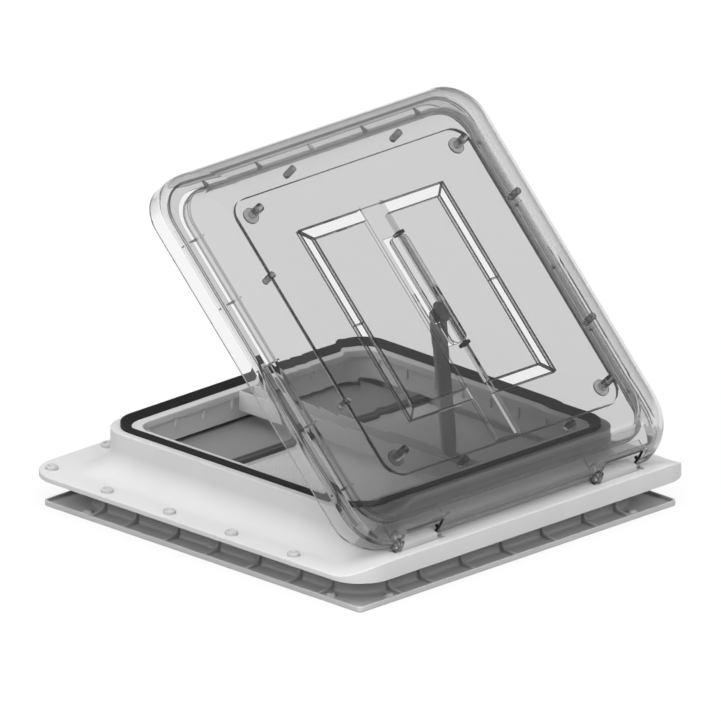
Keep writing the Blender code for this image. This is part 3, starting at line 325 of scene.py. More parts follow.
def noise(tree: NodeTree, size: float, detail: float = 3.0) -> NodeSocket:
    """Add a noise pattern in object coordinates.

    Args:
        tree: the node tree.
        size: size of its blobs in mm.
        detail: octaves.

    Returns:
        The pattern's value.
    """
    place = add_node(tree, "ShaderNodeTexCoord").outputs["Object"]
    inputs = {"Vector": place, "Scale": 1.0 / (size * MM), "Detail": detail}
    return add_node(tree, "ShaderNodeTexNoise", inputs).outputs["Fac"]


def map_range(
    tree: NodeTree,
    value: NodeSocket,
    low: float | NodeSocket,
    high: float,
    start: float = 0.0,
    end: float = 1.0,
    **settings: object,
) -> NodeSocket:
    """Map a value from one range onto another.

    Args:
        tree: the node tree.
        value: the value.
        low: result at the start of its range.
        high: result at the end of its range.
        start: where its range starts.
        end: where its range ends.
        settings: properties of the node.

    Returns:
        The mapped value.
    """
    inputs = {"Value": value, "From Min": start, "From Max": end, "To Min": low, "To Max": high}
    return add_node(tree, "ShaderNodeMapRange", inputs, **settings).outputs["Result"]


def ramp(tree: NodeTree, pattern: NodeSocket, low: float, high: float) -> NodeSocket:
    """Map the middle range of a noise pattern onto two values.

    Args:
        tree: the node tree.
        pattern: the pattern.
        low: result where it is dark.
        high: result where it is light.

    Returns:
        The mapped value.
    """
    return map_range(tree, pattern, low, high, *NOISE_RANGE)


def bump(tree: NodeTree, height: NodeSocket, depth: float) -> NodeSocket:
    """Turn a pattern into relief.

    Args:
        tree: the node tree.
        height: the pattern.
        depth: relief in mm.

    Returns:
        The normal.
    """
    inputs = {"Height": height, "Strength": 1.0, "Distance": depth * MM}
    return add_node(tree, "ShaderNodeBump", inputs).outputs["Normal"]


def maths(tree: NodeTree, operation: str, first: NodeSocket, second: NodeSocket | float) -> NodeSocket:
    """Combine two numbers.

    Args:
        tree: the node tree.
        operation: what to do with them.
        first: the first number.
        second: the second number.

    Returns:
        The result.
    """
    return add_node(tree, "ShaderNodeMath", {0: first, 1: second}, operation=operation).outputs["Value"]


def scaled(tree: NodeTree, colour: NodeSocket | Sequence[float], share: NodeSocket) -> NodeSocket:
    """Darken a colour.

    Args:
        tree: the node tree.
        colour: the colour.
        share: how much of it stays.

    Returns:
        The darker colour.
    """
    inputs = {0: colour, "Scale": share}
    return add_node(tree, "ShaderNodeVectorMath", inputs, operation="SCALE").outputs["Vector"]


def two_tone(tree: NodeTree, share: NodeSocket, first: str, second: str) -> NodeSocket:
    """Blend two colours.

    Args:
        tree: the node tree.
        share: how much of the second there is.
        first: hex code of one colour.
        second: hex code of the other.

    Returns:
        The blended colour.
    """
    inputs = {"Factor": share, "A": linear(first), "B": linear(second)}
    return add_node(tree, "ShaderNodeMix", inputs, data_type="RGBA").outputs["Result"]


def mix_shader(
    tree: NodeTree, share: NodeSocket | float, first: NodeSocket, second: NodeSocket
) -> NodeSocket:
    """Blend two shaders.

    Args:
        tree: the node tree.
        share: how much of the second there is.
        first: one shader.
        second: the other.

    Returns:
        The blended shader.
    """
    return add_node(tree, "ShaderNodeMixShader", {"Fac": share, 1: first, 2: second}).outputs["Shader"]


def principled(tree: NodeTree, inputs: dict[str, object]) -> NodeSocket:
    """Add the general surface shader.

    Args:
        tree: the node tree.
        inputs: its inputs.

    Returns:
        The shader.
    """
    return add_node(tree, "ShaderNodeBsdfPrincipled", inputs).outputs["BSDF"]


# Finishes


@dataclass(frozen=True)
class MouldedPlastic:
    """Injection-moulded plastic: fine spark-eroded grain, and flow marks that shift its tone a little."""

    name: str
    colour: str
    shade: str
    roughness: float
    grain: float = 0.7
    relief: float = 0.006
    bounce: float = 1.0
    flow: float = 60.0
    patchy: float = 0.05

    def material(self) -> Material:
        """Make the material.

        Returns:
            The material.
        """
        made, tree = new_material(self.name)
        # The slow change of tone that a large moulding shows across its faces
        flow = ramp(tree, noise(tree, self.flow, 2.0), 0.0, 1.0)
        tone = two_tone(tree, flow, self.colour, self.shade)
        # Light that has already bounced finds it dimmer, so that deep gaps read as deep
        path = add_node(tree, "ShaderNodeLightPath")
        dim = map_range(tree, path.outputs["Is Diffuse Ray"], 1.0, self.bounce)
        # Grain breaks up the highlight without showing as dots at arm's length
        grain = noise(tree, self.grain, 2.0)
        inputs = {
            "Base Color": scaled(tree, tone, dim),
            "Roughness": ramp(tree, grain, *span(self.roughness, self.patchy)),
            "Normal": bump(tree, grain, self.relief),
        }
        return close_material(made, principled(tree, inputs), self.colour)


@dataclass(frozen=True)
class ClearAcrylic:
    """Thermoformed clear acrylic: polished, faintly grey, bending what lies behind it at every step."""

    name: str
    tint: str
    passing: float
    grazing: float = 0.35
    roughness: float = 0.01
    index: float = 1.14
    square_on: float = 0.32
    edge_on: float = 0.95
    haze: float = 45.0
    viewport_alpha: float = 0.35

    def material(self) -> Material:
        """Make the material.

        Returns:
            The material.
        """
        made, tree = new_material(self.name)
        # A trace of haze from handling, so that reflections aren't mirror sharp everywhere
        haze = ramp(tree, noise(tree, self.haze), *span(self.roughness, self.roughness / 2.0))
        # Seen along the sheet the eye looks through more of it, so outlines and round shoulders go dark
        facing = add_node(tree, "ShaderNodeLayerWeight", {"Blend": 0.5}).outputs["Facing"]
        depth = map_range(tree, facing, 1.0, self.grazing, self.square_on, self.edge_on)
        # The tint greys what is seen through the sheet, and the index draws a dark line at each step in it
        inputs = {
            "Base Color": scaled(tree, linear(self.tint)[:3], depth),
            "Transmission Weight": 1.0,
            "IOR": self.index,
            "Roughness": haze,
        }
        glass = principled(tree, inputs)
        # Light passes on to what lies below, so that the pieces under the lid stay lit
        shade = (self.passing, self.passing, self.passing, 1.0)
        clear = add_node(tree, "ShaderNodeBsdfTransparent", {"Color": shade}).outputs["BSDF"]
        path = add_node(tree, "ShaderNodeLightPath").outputs
        lighting = maths(tree, "MAXIMUM", path["Is Shadow Ray"], path["Is Diffuse Ray"])
        both = mix_shader(tree, lighting, glass, clear)
        return close_material(made, both, self.tint, self.viewport_alpha)


@dataclass(frozen=True)
class PlatedSteel:
    """Zinc-plated steel: grey metal whose gloss is patchy from the plating bath."""

    name: str
    colour: str
    roughness: float
    spangle: float = 2.5
    patchy: float = 0.1
    relief: float = 0.01

    def material(self) -> Material:
        """Make the material.

        Returns:
            The material.
        """
        made, tree = new_material(self.name)
        # The plating's spangle, seen as patches of duller and brighter metal
        patch = noise(tree, self.spangle)
        inputs = {
            "Base Color": linear(self.colour),
            "Metallic": 1.0,
            "Roughness": ramp(tree, patch, *span(self.roughness, self.patchy)),
            "Normal": bump(tree, patch, self.relief),
        }
        return close_material(made, principled(tree, inputs), self.colour)


@dataclass(frozen=True)
class CoatedCloth:
    """Coated blackout cloth: matt, with a close plain weave that shows as relief."""

    name: str
    colour: str
    shade: str
    pitch: float
    relief: float
    wear: float = 8.0
    dull: Point = (0.75, 0.9)

    def material(self) -> Material:
        """Make the material.

        Returns:
            The material.
        """
        made, tree = new_material(self.name)
        place = add_node(tree, "ShaderNodeTexCoord").outputs["Object"]
        # A wave texture at scale 1 has bands a tenth of pi apart
        inputs = {"Vector": place, "Scale": math.pi / 10.0 / (self.pitch * MM)}
        waves = [add_node(tree, "ShaderNodeTexWave", inputs, bands_direction=way) for way in ("X", "Y")]
        weave = maths(tree, "MULTIPLY", *[wave.outputs["Fac"] for wave in waves])
        # Threads catch the light and the gaps between them fall darker
        inputs = {
            "Base Color": two_tone(tree, weave, self.shade, self.colour),
            "Roughness": ramp(tree, noise(tree, self.wear), *self.dull),
            "Normal": bump(tree, weave, self.relief),
        }
        return close_material(made, principled(tree, inputs), self.colour)


def made_of(finish: MouldedPlastic | ClearAcrylic | PlatedSteel | CoatedCloth) -> Material:
    """Declare a field whose material is made together with its palette.

    Args:
        finish: the finish.

    Returns:
        The field.
    """
    return field(default_factory=finish.material)


@dataclass
class Palette:
    """Every finish of the roof light, made once."""

    white: Material = made_of(MouldedPlastic("white_abs_moulding", "EDEEED", "E8E9E8", 0.42, bounce=0.5))
    trim: Material = made_of(MouldedPlastic("white_interior_trim_abs", "E6E7E6", "E1E2E1", 0.5, bounce=0.12))
    cap: Material = made_of(MouldedPlastic("white_capped_screw", "D8D9D8", "D2D3D2", 0.4))
    steel: Material = made_of(PlatedSteel("zinc_plated_steel", "B9BCBE", 0.35))
    rubber: Material = made_of(MouldedPlastic("black_epdm_rubber", "1C1C1D", "242425", 0.7, 1.2, 0.02))
    outer_clear: Material = made_of(ClearAcrylic("clear_outer_acrylic", "F3F3F3", 0.72, 0.4, index=1.49))
    inner_clear: Material = made_of(ClearAcrylic("clear_inner_acrylic", "DADADA", 0.42, 0.85))
    edge_clear: Material = made_of(ClearAcrylic("water_clear_acrylic", "FFFFFF", 0.95))
    # Painted dark line: a grey sheet on the lid's bends, edges, gussets and stud sides, standing in for the
    # dark outlines seen there
    painted_grey_line: Material = made_of(ClearAcrylic("acrylic_cut_edge", "8A8A8A", 0.6))
    # Painted dark line: a near-black sheet at the cap's shelf edge and root
    painted_cap_line: Material = made_of(ClearAcrylic("acrylic_cap_line", "505050", 0.6, index=1.49))
    cap_shelf: Material = made_of(ClearAcrylic("acrylic_cap_shelf", "DCDCDC", 0.3, 0.85, index=1.49))
    # Painted dark line: a near-black sheet at the foot and crest of the trough, bead, lips and rail
    painted_root_line: Material = made_of(ClearAcrylic("acrylic_root_line", "505050", 0.6))
    rail_clear: Material = made_of(ClearAcrylic("clear_rail_acrylic", "E2E2E2", 0.6))
    # Painted shade: the wall along the hinge is tinted darker, for the shaded pieces seen through it
    hinge_wall_painted_shade: Material = made_of(ClearAcrylic("acrylic_hinge_wall", "CACACA", 0.66, index=1.49))
    smoked: Material = made_of(ClearAcrylic("smoked_acrylic", "BEBEBE", 0.6))
    arm: Material = made_of(MouldedPlastic("grey_glass_filled_nylon", "E2E4E3", "DADCDB", 0.5))
    slider: Material = made_of(MouldedPlastic("grey_acetal_slider", "A4A6A8", "9C9EA0", 0.45))
    bar: Material = made_of(MouldedPlastic("dark_grey_end_bar_nylon", "5A5C5F", "55575A", 0.5))
    black: Material = made_of(MouldedPlastic("black_nylon_clip", "18181A", "1E1E20", 0.5))
    cloth: Material = made_of(CoatedCloth("grey_blackout_cloth", "ADADAD", "9F9F9F", 0.5, 0.05))
    yarn: Material = made_of(MouldedPlastic("grey_coated_screen_yarn", "F2F2F2", "E8E8E8", 0.65))


# Solids


def link(name: str, data: bpy.types.ID) -> Object:
    """Put new data in the scene as an object at the origin.

    Args:
        name: the object's name.
        data: its mesh, light or camera.

    Returns:
        The object.
    """
    made = bpy.data.objects.new(name, data)
    bpy.context.scene.collection.objects.link(made)
    return made


def bake(made: Object) -> None:
    """Turn an object's modifiers into plain mesh.

    Args:
        made: the object, changed in place.
    """
    graph = bpy.context.evaluated_depsgraph_get()
    mesh = bpy.data.meshes.new_from_object(made.evaluated_get(graph))
    made.modifiers.clear()
    made.data = mesh
    mesh.name = made.name


def soften(made: Object, width: Edge = Edge.NONE, angle: float = HARD, segments: int = 2) -> None:
    """Round an object's hard edges and shade the rest smooth.

    Args:
        made: the object, changed in place.
        width: how wide the rounding is.
        angle: edges sharper than this many degrees count as hard.
        segments: bevel segments.
    """
    if width is not Edge.NONE:
        step = made.modifiers.new("edges", "BEVEL")
        step.width = width * MM
        step.segments = segments
        step.limit_method = "ANGLE"
        step.angle_limit = math.radians(angle)
        step.use_clamp_overlap = True
        bake(made)
    made.data.shade_smooth()
    made.data.set_sharp_from_angle(angle=math.radians(angle))


class Shape:
    """A growing solid in millimetres."""

    def __init__(self, place: Matrix | None = None) -> None:
        """Start empty.

        Args:
            place: where the finished solid goes, in mm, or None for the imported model's frame.
        """
        self.body = bmesh.new()
        self.place = place or Matrix.Identity(4)

    def points(self, places: Sequence[Sequence[float]]) -> list[bmesh.types.BMVert]:
        """Add points.

        Args:
            places: where they are.

        Returns:
            The points.
        """
        return [self.body.verts.new(place) for place in places]

    def strip(self, near: Sequence[bmesh.types.BMVert], far: Sequence[bmesh.types.BMVert]) -> None:
        """Add the faces between two rings of points.

        Args:
            near: one ring.
            far: the other, point for point.
        """
        for number in range(len(near)):
            after = (number + 1) % len(near)
            self.body.faces.new((near[number], near[after], far[after], far[number]))

    def box(self, x: Sequence[float], y: Sequence[float], z: Sequence[float]) -> Shape:
        """Add a box.

        Args:
            x: its two ends along X.
            y: its two ends along Y.
            z: its two ends along Z.

        Returns:
            The shape.
        """
        size = (abs(x[1] - x[0]), abs(y[1] - y[0]), abs(z[1] - z[0]), 1.0)
        middle = Vector((sum(x), sum(y), sum(z))) / 2.0
        bmesh.ops.create_cube(self.body, size=1.0, matrix=Matrix.Translation(middle) @ Matrix.Diagonal(size))
        return self

    def rod(self, start: Sequence[float], end: Sequence[float], radius: float, sides: int = 32) -> Shape:
        """Add a round rod.

        Args:
            start: one end.
            end: the other end.
            radius: its radius.
            sides: how many flats it is cut into.

        Returns:
            The shape.
        """
        line = Vector(end) - Vector(start)
        turn = line.to_track_quat("Z", "Y").to_matrix().to_4x4()
        place = Matrix.Translation((Vector(start) + Vector(end)) / 2.0) @ turn
        size = {"radius1": radius, "radius2": radius, "depth": line.length}
        bmesh.ops.create_cone(self.body, cap_ends=True, segments=sides, matrix=place, **size)
        return self

    def prism(self, outline: Sequence[Point], low: float, high: float, axis: Axis) -> Shape:
        """Extrude a closed outline.

        Args:
            outline: its points in the two other directions.
            low: where the extrusion starts.
            high: where it ends.
            axis: the direction it runs in.

        Returns:
            The shape.
        """
        lift = {
            Axis.X: lambda u, v, w: (w, u, v),
            Axis.Y: lambda u, v, w: (u, w, v),
            Axis.Z: lambda u, v, w: (u, v, w),
        }[axis]
        near, far = (self.points([lift(u, v, end) for u, v in outline]) for end in (low, high))
        self.body.faces.new(near)
        self.body.faces.new(far)
        self.strip(near, far)
        return self

    def lathe(self, profile: Sequence[Point], steps: int = 32) -> Shape:
        """Turn a profile round the Z axis; it starts and ends on the axis.

        Args:
            profile: radius and height pairs.
            steps: how many flats it is cut into.

        Returns:
            The shape.
        """
        first, last = self.points([(0.0, 0.0, profile[0][1]), (0.0, 0.0, profile[-1][1])])
        turns = [math.tau * step / steps for step in range(steps)]
        rings = [
            self.points([(radius * math.cos(turn), radius * math.sin(turn), height) for turn in turns])
            for radius, height in profile[1:-1]
        ]
        for step in range(steps):
            after = (step + 1) % steps
            self.body.faces.new((first, rings[0][step], rings[0][after]))
            self.body.faces.new((last, rings[-1][after], rings[-1][step]))
            for here, there in zip(rings, rings[1:]):
                self.body.faces.new((here[step], there[step], there[after], here[after]))
        return self

    def sweep(
        self,
        section: Section,
        radius_at: Callable[[float], float],
        centre_y: float = 0.0,
        closed: bool = True,
        steps: int = 16,
    ) -> Shape:
        """Sweep a section round a rounded square.

        Args:
            section: gives half size and height pairs for a hinge-side share from 0 to 1.
            radius_at: gives the corner radius at a half size.
            centre_y: middle of the square along Y.
            closed: joins the section's ends, or else caps both across the square.
            steps: chords in each corner.

        Returns:
            The shape.
        """
        columns = []
        for corner in range(4):
            for step in range(steps + 1):
                share = step / steps
                hinge = {2: ease(share), 3: ease(1.0 - share)}.get(corner, 0.0)
                turn = math.radians(90.0 * (corner + share))
                sign_x = 1.0 if corner in (0, 3) else -1.0
                sign_y = 1.0 if corner in (0, 1) else -1.0
                column = []
                for half, height in section(hinge):
                    radius = radius_at(half)
                    x = sign_x * (half - radius) + radius * math.cos(turn)
                    y = sign_y * (half - radius) + radius * math.sin(turn) + centre_y
                    column.append((x, y, height))
                columns.append(self.points(column))
        rows = len(columns[0])
        for here, there in zip(columns, columns[1:] + columns[:1]):
            for row in range(rows if closed else rows - 1):
                above = (row + 1) % rows
                self.body.faces.new((here[row], there[row], there[above], here[above]))
        if not closed:
            self.body.faces.new([column[0] for column in columns])
            self.body.faces.new([column[-1] for column in columns])
        return self

    def piece(self, name: str, material: Material | None = None) -> Object:
        """Finish the solid as an object at the origin.

        Args:
            name: the object's name.
            material: its finish, or None for a tool.

        Returns:
            The object.
        """
        bmesh.ops.recalc_face_normals(self.body, faces=self.body.faces)
        self.body.transform(Matrix.Scale(MM, 4) @ self.place)
        mesh = bpy.data.meshes.new(name)
        self.body.to_mesh(mesh)
        self.body.free()
        if material is not None:
            mesh.materials.append(material)
        return link(name, mesh)


def combine(target: Object, tool: Shape, cut: Cut) -> None:
    """Join a tool solid to a piece, or take it away.

    Args:
        target: the piece, changed in place.
        tool: the tool.
        cut: what to do.
    """
    solid = tool.piece("tool")
    step = target.modifiers.new("tool", "BOOLEAN")
    step.object = solid
    step.operation = cut.value
    step.solver = "EXACT"
    bake(target)
    bpy.data.objects.remove(solid, do_unlink=True)


def score(made: Object, place: Matrix, levels: Sequence[float]) -> None:
    """Part a mesh's faces at some heights, so that a strip of a wall can take its own finish.

    Args:
        made: the object, changed in place.
        place: the frame that the heights are in.
        levels: the heights.
    """
    body = bmesh.new()
    body.from_mesh(made.data)
    for level in levels:
        geometry = [*body.verts, *body.edges, *body.faces]
        point = (place @ Vector((0.0, 0.0, level))) * MM
        bmesh.ops.bisect_plane(body, geom=geometry, plane_co=point, plane_no=place.col[2].xyz, dist=TOUCH)
    body.to_mesh(made.data)
    body.free()


def dress_faces(made: Object, place: Matrix, finish_of: Callable[[Vector, Vector], Material | None]) -> None:
    """Give some faces of a piece another finish.

    Args:
        made: the piece, changed in place.
        place: frame in which the faces are judged.
        finish_of: tells from a face's centre in mm and its normal which finish it takes, or None.
    """
    finishes = made.data.materials
    back = place.inverted()
    turn = back.to_3x3()
    for face in made.data.polygons:
        finish = finish_of(back @ (face.center / MM), turn @ face.normal)
        if finish is None:
            continue
        if finish.name not in finishes:
            finishes.append(finish)
        face.material_index = finishes.find(finish.name)


@dataclass
class Repeat:
    """One small template repeated on points by a node tree, then made plain mesh.

    The template is one unit wide, deep and high; the tree's named inputs give its real size.
    """

    name: str
    template: Shape
    places: Sequence[tuple[Vector, float]]
    size: tuple[float, float, float]
    place: Matrix = field(default_factory=lambda: Matrix.Identity(4))

    def tree(self) -> NodeTree:
        """Build the node tree.

        Returns:
            The tree.
        """
        tree = bpy.data.node_groups.new(self.name, "GeometryNodeTree")
        sockets = {"Geometry": "Geometry", "Template": "Object"}
        sockets |= {"Width": "Float", "Depth": "Float", "Height": "Float", "Finish": "Material"}
        for name, kind in sockets.items():
            tree.interface.new_socket(name, in_out="INPUT", socket_type="NodeSocket" + kind)
        tree.interface.new_socket("Geometry", in_out="OUTPUT", socket_type="NodeSocketGeometry")
        given = add_node(tree, "NodeGroupInput").outputs
        single = add_node(tree, "GeometryNodeObjectInfo", {"Object": given["Template"]})
        turn = add_node(tree, "GeometryNodeInputNamedAttribute", {"Name": "turn"}, data_type="FLOAT")
        spin = add_node(tree, "ShaderNodeCombineXYZ", {"Z": turn.outputs["Attribute"]})
        inputs = {"X": given["Width"], "Y": given["Depth"], "Z": given["Height"]}
        size = add_node(tree, "ShaderNodeCombineXYZ", inputs)
        inputs = {
            "Points": given["Geometry"],
            "Instance": single.outputs["Geometry"],
            "Rotation": spin.outputs["Vector"],
            "Scale": size.outputs["Vector"],
        }
        copies = add_node(tree, "GeometryNodeInstanceOnPoints", inputs)
        real = add_node(tree, "GeometryNodeRealizeInstances", {"Geometry": copies.outputs["Instances"]})
        inputs = {"Geometry": real.outputs["Geometry"], "Material": given["Finish"]}
        coloured = add_node(tree, "GeometryNodeSetMaterial", inputs)
        add_node(tree, "NodeGroupOutput", {"Geometry": coloured.outputs["Geometry"]})
        return tree

    def piece(self, material: Material) -> Object:
        """Make the repeated piece.

        Args:
            material: its finish.

        Returns:
            One plain mesh object.
        """
        single = self.template.piece(self.name + "_template")
        single.data.transform(Matrix.Scale(1.0 / MM, 4))
        mesh = bpy.data.meshes.new(self.name)
        mesh.from_pydata([tuple(point * MM) for point, _ in self.places], [], [])
        turns = mesh.attributes.new("turn", "FLOAT", "POINT")
        turns.data.foreach_set("value", [math.radians(turn) for _, turn in self.places])
        made = link(self.name, mesh)
        values = {"Template": single, "Finish": material}
        values |= {name: size * MM for name, size in zip(("Width", "Depth", "Height"), self.size)}
        step = made.modifiers.new("repeat", "NODES")
        step.node_group = self.tree()
        for item in step.node_group.interface.items_tree:
            if item.in_out == "INPUT" and item.name in values:
                step[item.identifier] = values[item.name]
        bake(made)
        bpy.data.objects.remove(single, do_unlink=True)
        made.data.transform(Matrix.Scale(MM, 4) @ self.place @ Matrix.Scale(1.0 / MM, 4))
        return made


# Sub-assemblies


@dataclass
class Assembly:
    """A sub-assembly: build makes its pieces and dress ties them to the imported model."""

    kept: list[tuple[Object, Body, str, tuple[str, ...]]] = field(default_factory=list, init=False)

    def build(self, palette: Palette) -> None:
        """Make the pieces.

        Args:
            palette: the finishes.
        """
        raise NotImplementedError

    def keep(self, made: Object, body: Body, slot: str, *nodes: str) -> None:
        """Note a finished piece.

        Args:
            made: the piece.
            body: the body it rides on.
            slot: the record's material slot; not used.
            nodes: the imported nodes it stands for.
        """
        self.kept.append((made, body, slot, nodes))

    def dress(self) -> None:
        """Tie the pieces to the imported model."""
        for made, body, slot, nodes in self.kept:
            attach(made, body.value)
            if nodes:
                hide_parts(*nodes)
            LOG.info("%s rides on %s, %d faces", made.name, body.value, len(made.data.polygons))


@dataclass
class OuterFrame(Assembly):
    """White roof moulding: flange, cove, collar, raised hinge deck, spigot, and the flange's screws."""

    flange_half: float = 229.0
    flange_underside: float = 31.7
    flange_top: float = 36.8
    flange_round: float = 1.0
    deck_top: float = 50.0
    deck_round: float = 0.8
    deck_fillet: float = 6.0
    collar_half: float = 179.0
    collar_corner: float = 33.0
    corner_gain: float = 0.1
    corner_loss: float = 0.5
    collar_top: float = 80.5
    collar_wall: float = 3.0
    lip_round: float = 1.1
    cove: float = 25.8
    well_half: float = 153.0
    recess: float = 2.0
    well_wall: float = 2.6
    band_height: float = 7.0
    band_slope: float = 0.9
    well_foot: float = 51.5
    spigot_half: float = 184.6
    spigot_wall: float = 2.6
    spigot_foot: float = 12.0
    tower_radius: float = 7.0
    tower_offset: float = 163.0
    tower_foot: float = 16.0
    tower_cover: float = 1.5
    seat_x: float = 135.1
    seat_half: float = 34.0
    seat_y: Point = (-217.6, -205.6)
    seat_floor: float = 47.5
    screw_line: float = 216.7
    screw_steps: tuple[float, ...] = (-126.4, -42.1, 42.1, 126.4)
    screw_corner: float = 209.0
    screw_radius: float = 6.2
    screw_height: float = 3.9
    screw_hard: float = 40.0
    peg_steps: tuple[float, ...] = (-133.0, -95.0, -57.0, -19.0, 19.0, 57.0, 95.0, 133.0)
    peg_size: tuple[float, float, float] = (5.0, 1.7, 9.5)
    peg_nose: float = 0.38
    peg_drop: float = 0.6

    def radius_at(self, half: float) -> float:
        """Corner radius of the frame at a half size.

        Args:
            half: the half size.

        Returns:
            The radius.
        """
        past = half - self.collar_half
        return self.collar_corner + past * (self.corner_gain if past >= 0.0 else self.corner_loss)

    def section(self, hinge: float) -> list[Point]:
        """Section of the moulding.

        Args:
            hinge: share of the hinge side's raised deck.

        Returns:
            Half size and height pairs.
        """
        top = mix(self.flange_top, self.deck_top, hinge)
        cove = mix(self.cove, self.deck_fillet, hinge)
        edge = mix(self.flange_round, self.deck_round, hinge)
        lip = self.lip_round
        points = [(self.flange_half, self.flange_underside)]
        points += arc((self.flange_half - edge, top - edge), edge, 0.0, 90.0, 5)
        points += arc((self.collar_half + cove, top + cove), cove, 270.0, 180.0, 14)
        points += arc((self.collar_half - lip, self.collar_top - lip), lip, 0.0, 90.0, 4)
        points += arc((self.well_half + lip, self.collar_top - lip), lip, 90.0, 180.0, 4)
        band_foot = self.collar_top - self.band_height
        wall_in = self.well_half + self.recess
        wall_out = wall_in + self.well_wall
        hollow_out = self.collar_half - self.collar_wall
        ceiling = self.collar_top - self.collar_wall
        spigot_in = self.spigot_half - self.spigot_wall
        return points + [
            (self.well_half, band_foot),
            (wall_in, band_foot - self.band_slope),
            (wall_in, self.well_foot),
            (wall_out, self.well_foot),
            (wall_out, ceiling),
            (hollow_out, ceiling),
            (hollow_out, self.flange_underside),
            (spigot_in, self.flange_underside),
            (spigot_in, self.spigot_foot),
            (self.spigot_half, self.spigot_foot),
            (self.spigot_half, self.flange_underside),
        ]

    def screw_places(self) -> list[Point]:
        """List the flange screws; the hinge side has none.

        Returns:
            Their x, y pairs.
        """
        places = [(-self.screw_line, step) for step in self.screw_steps]
        places += [(step, self.screw_line) for step in self.screw_steps]
        places += [(self.screw_line, step) for step in self.screw_steps]
        return places + [(side * self.screw_corner, self.screw_corner) for side in SIDES]

    def build(self, palette: Palette) -> None:
        """Make the moulding, its locating pegs and its screws."""
        body = Shape().sweep(self.section, self.radius_at).piece("roof_moulding", palette.white)
        towers = Shape()
        for x, y in corners(self.tower_offset):
            towers.rod((x, y, self.tower_foot), (x, y, self.collar_top - self.tower_cover), self.tower_radius)
        combine(body, towers, Cut.JOIN)
        seats = Shape()
        for side in SIDES:
            ends = span(side * self.seat_x, self.seat_half)
            seats.box(ends, self.seat_y, (self.seat_floor, self.deck_top + PAST))
        combine(body, seats, Cut.TAKE)
        soften(body)
        self.keep(body, Body.BASE, "white_moulding", "outer_frame")

        nose = self.peg_nose
        peg = Shape().prism([(-0.5, 0.0), (0.5, 0.0), (nose, 1.0), (-nose, 1.0)], -1.0, 0.0, Axis.Z)
        wall = self.well_half + self.recess + GAP / 2.0
        top = self.collar_top - self.band_height - self.peg_drop
        places = four_sides([Vector((step, -wall, top)) for step in self.peg_steps])
        pegs = Repeat("well_pegs", peg, places, self.peg_size).piece(palette.white)
        soften(pegs, Edge.SMALL)
        self.keep(pegs, Body.BASE, "white_moulding")

        # Domed head with a round recess, in shares of its radius and height
        head = [(0.0, 0.3), (0.54, 0.3), (0.6, 0.94), (0.66, 1.0), (0.78, 1.0), (0.9, 0.9), (0.97, 0.72)]
        head += [(1.0, 0.5), (1.0, 0.0), (0.0, 0.0)]
        places = [(Vector((x, y, self.flange_top + GAP / 2.0)), 0.0) for x, y in self.screw_places()]
        size = (self.screw_radius, self.screw_radius, self.screw_height)
        screws = Repeat("flange_screws", Shape().lathe(head), places, size).piece(palette.cap)
        soften(screws, angle=self.screw_hard)
        names = ["flange_screw_%02d" % number for number in range(1, len(places) + 1)]
        self.keep(screws, Body.BASE, "white_screw", *names)


@dataclass
class CollarSeal(Assembly):
    """Black rubber wedge on the collar's top that the lid shuts on."""

    frame: OuterFrame
    inner_half: float = 162.2
    outer_half: float = 171.2
    top: float = 86.5
    round: float = 1.3
    lip: float = 81.1
    lip_round: float = 0.5
    slope: float = 115.0

    def section(self, hinge: float) -> list[Point]:
        """Wedge section of the seal, the same all round.

        Args:
            hinge: share of the hinge side, which changes nothing here.

        Returns:
            Half size and height pairs.
        """
        foot = self.frame.collar_top + GAP
        points = [(self.inner_half, foot), (self.outer_half, foot)]
        points += arc((self.outer_half - self.round, self.top - self.round), self.round, 0.0, self.slope, 6)
        lip = (self.inner_half + self.lip_round, self.lip)
        return points + arc(lip, self.lip_round, self.slope, 180.0, 3)

    def build(self, palette: Palette) -> None:
        """Make the seal."""
        body = Shape().sweep(self.section, self.frame.radius_at).piece("wedge_seal", palette.rubber)
        soften(body)
        self.keep(body, Body.BASE, "seal", "collar_seal")


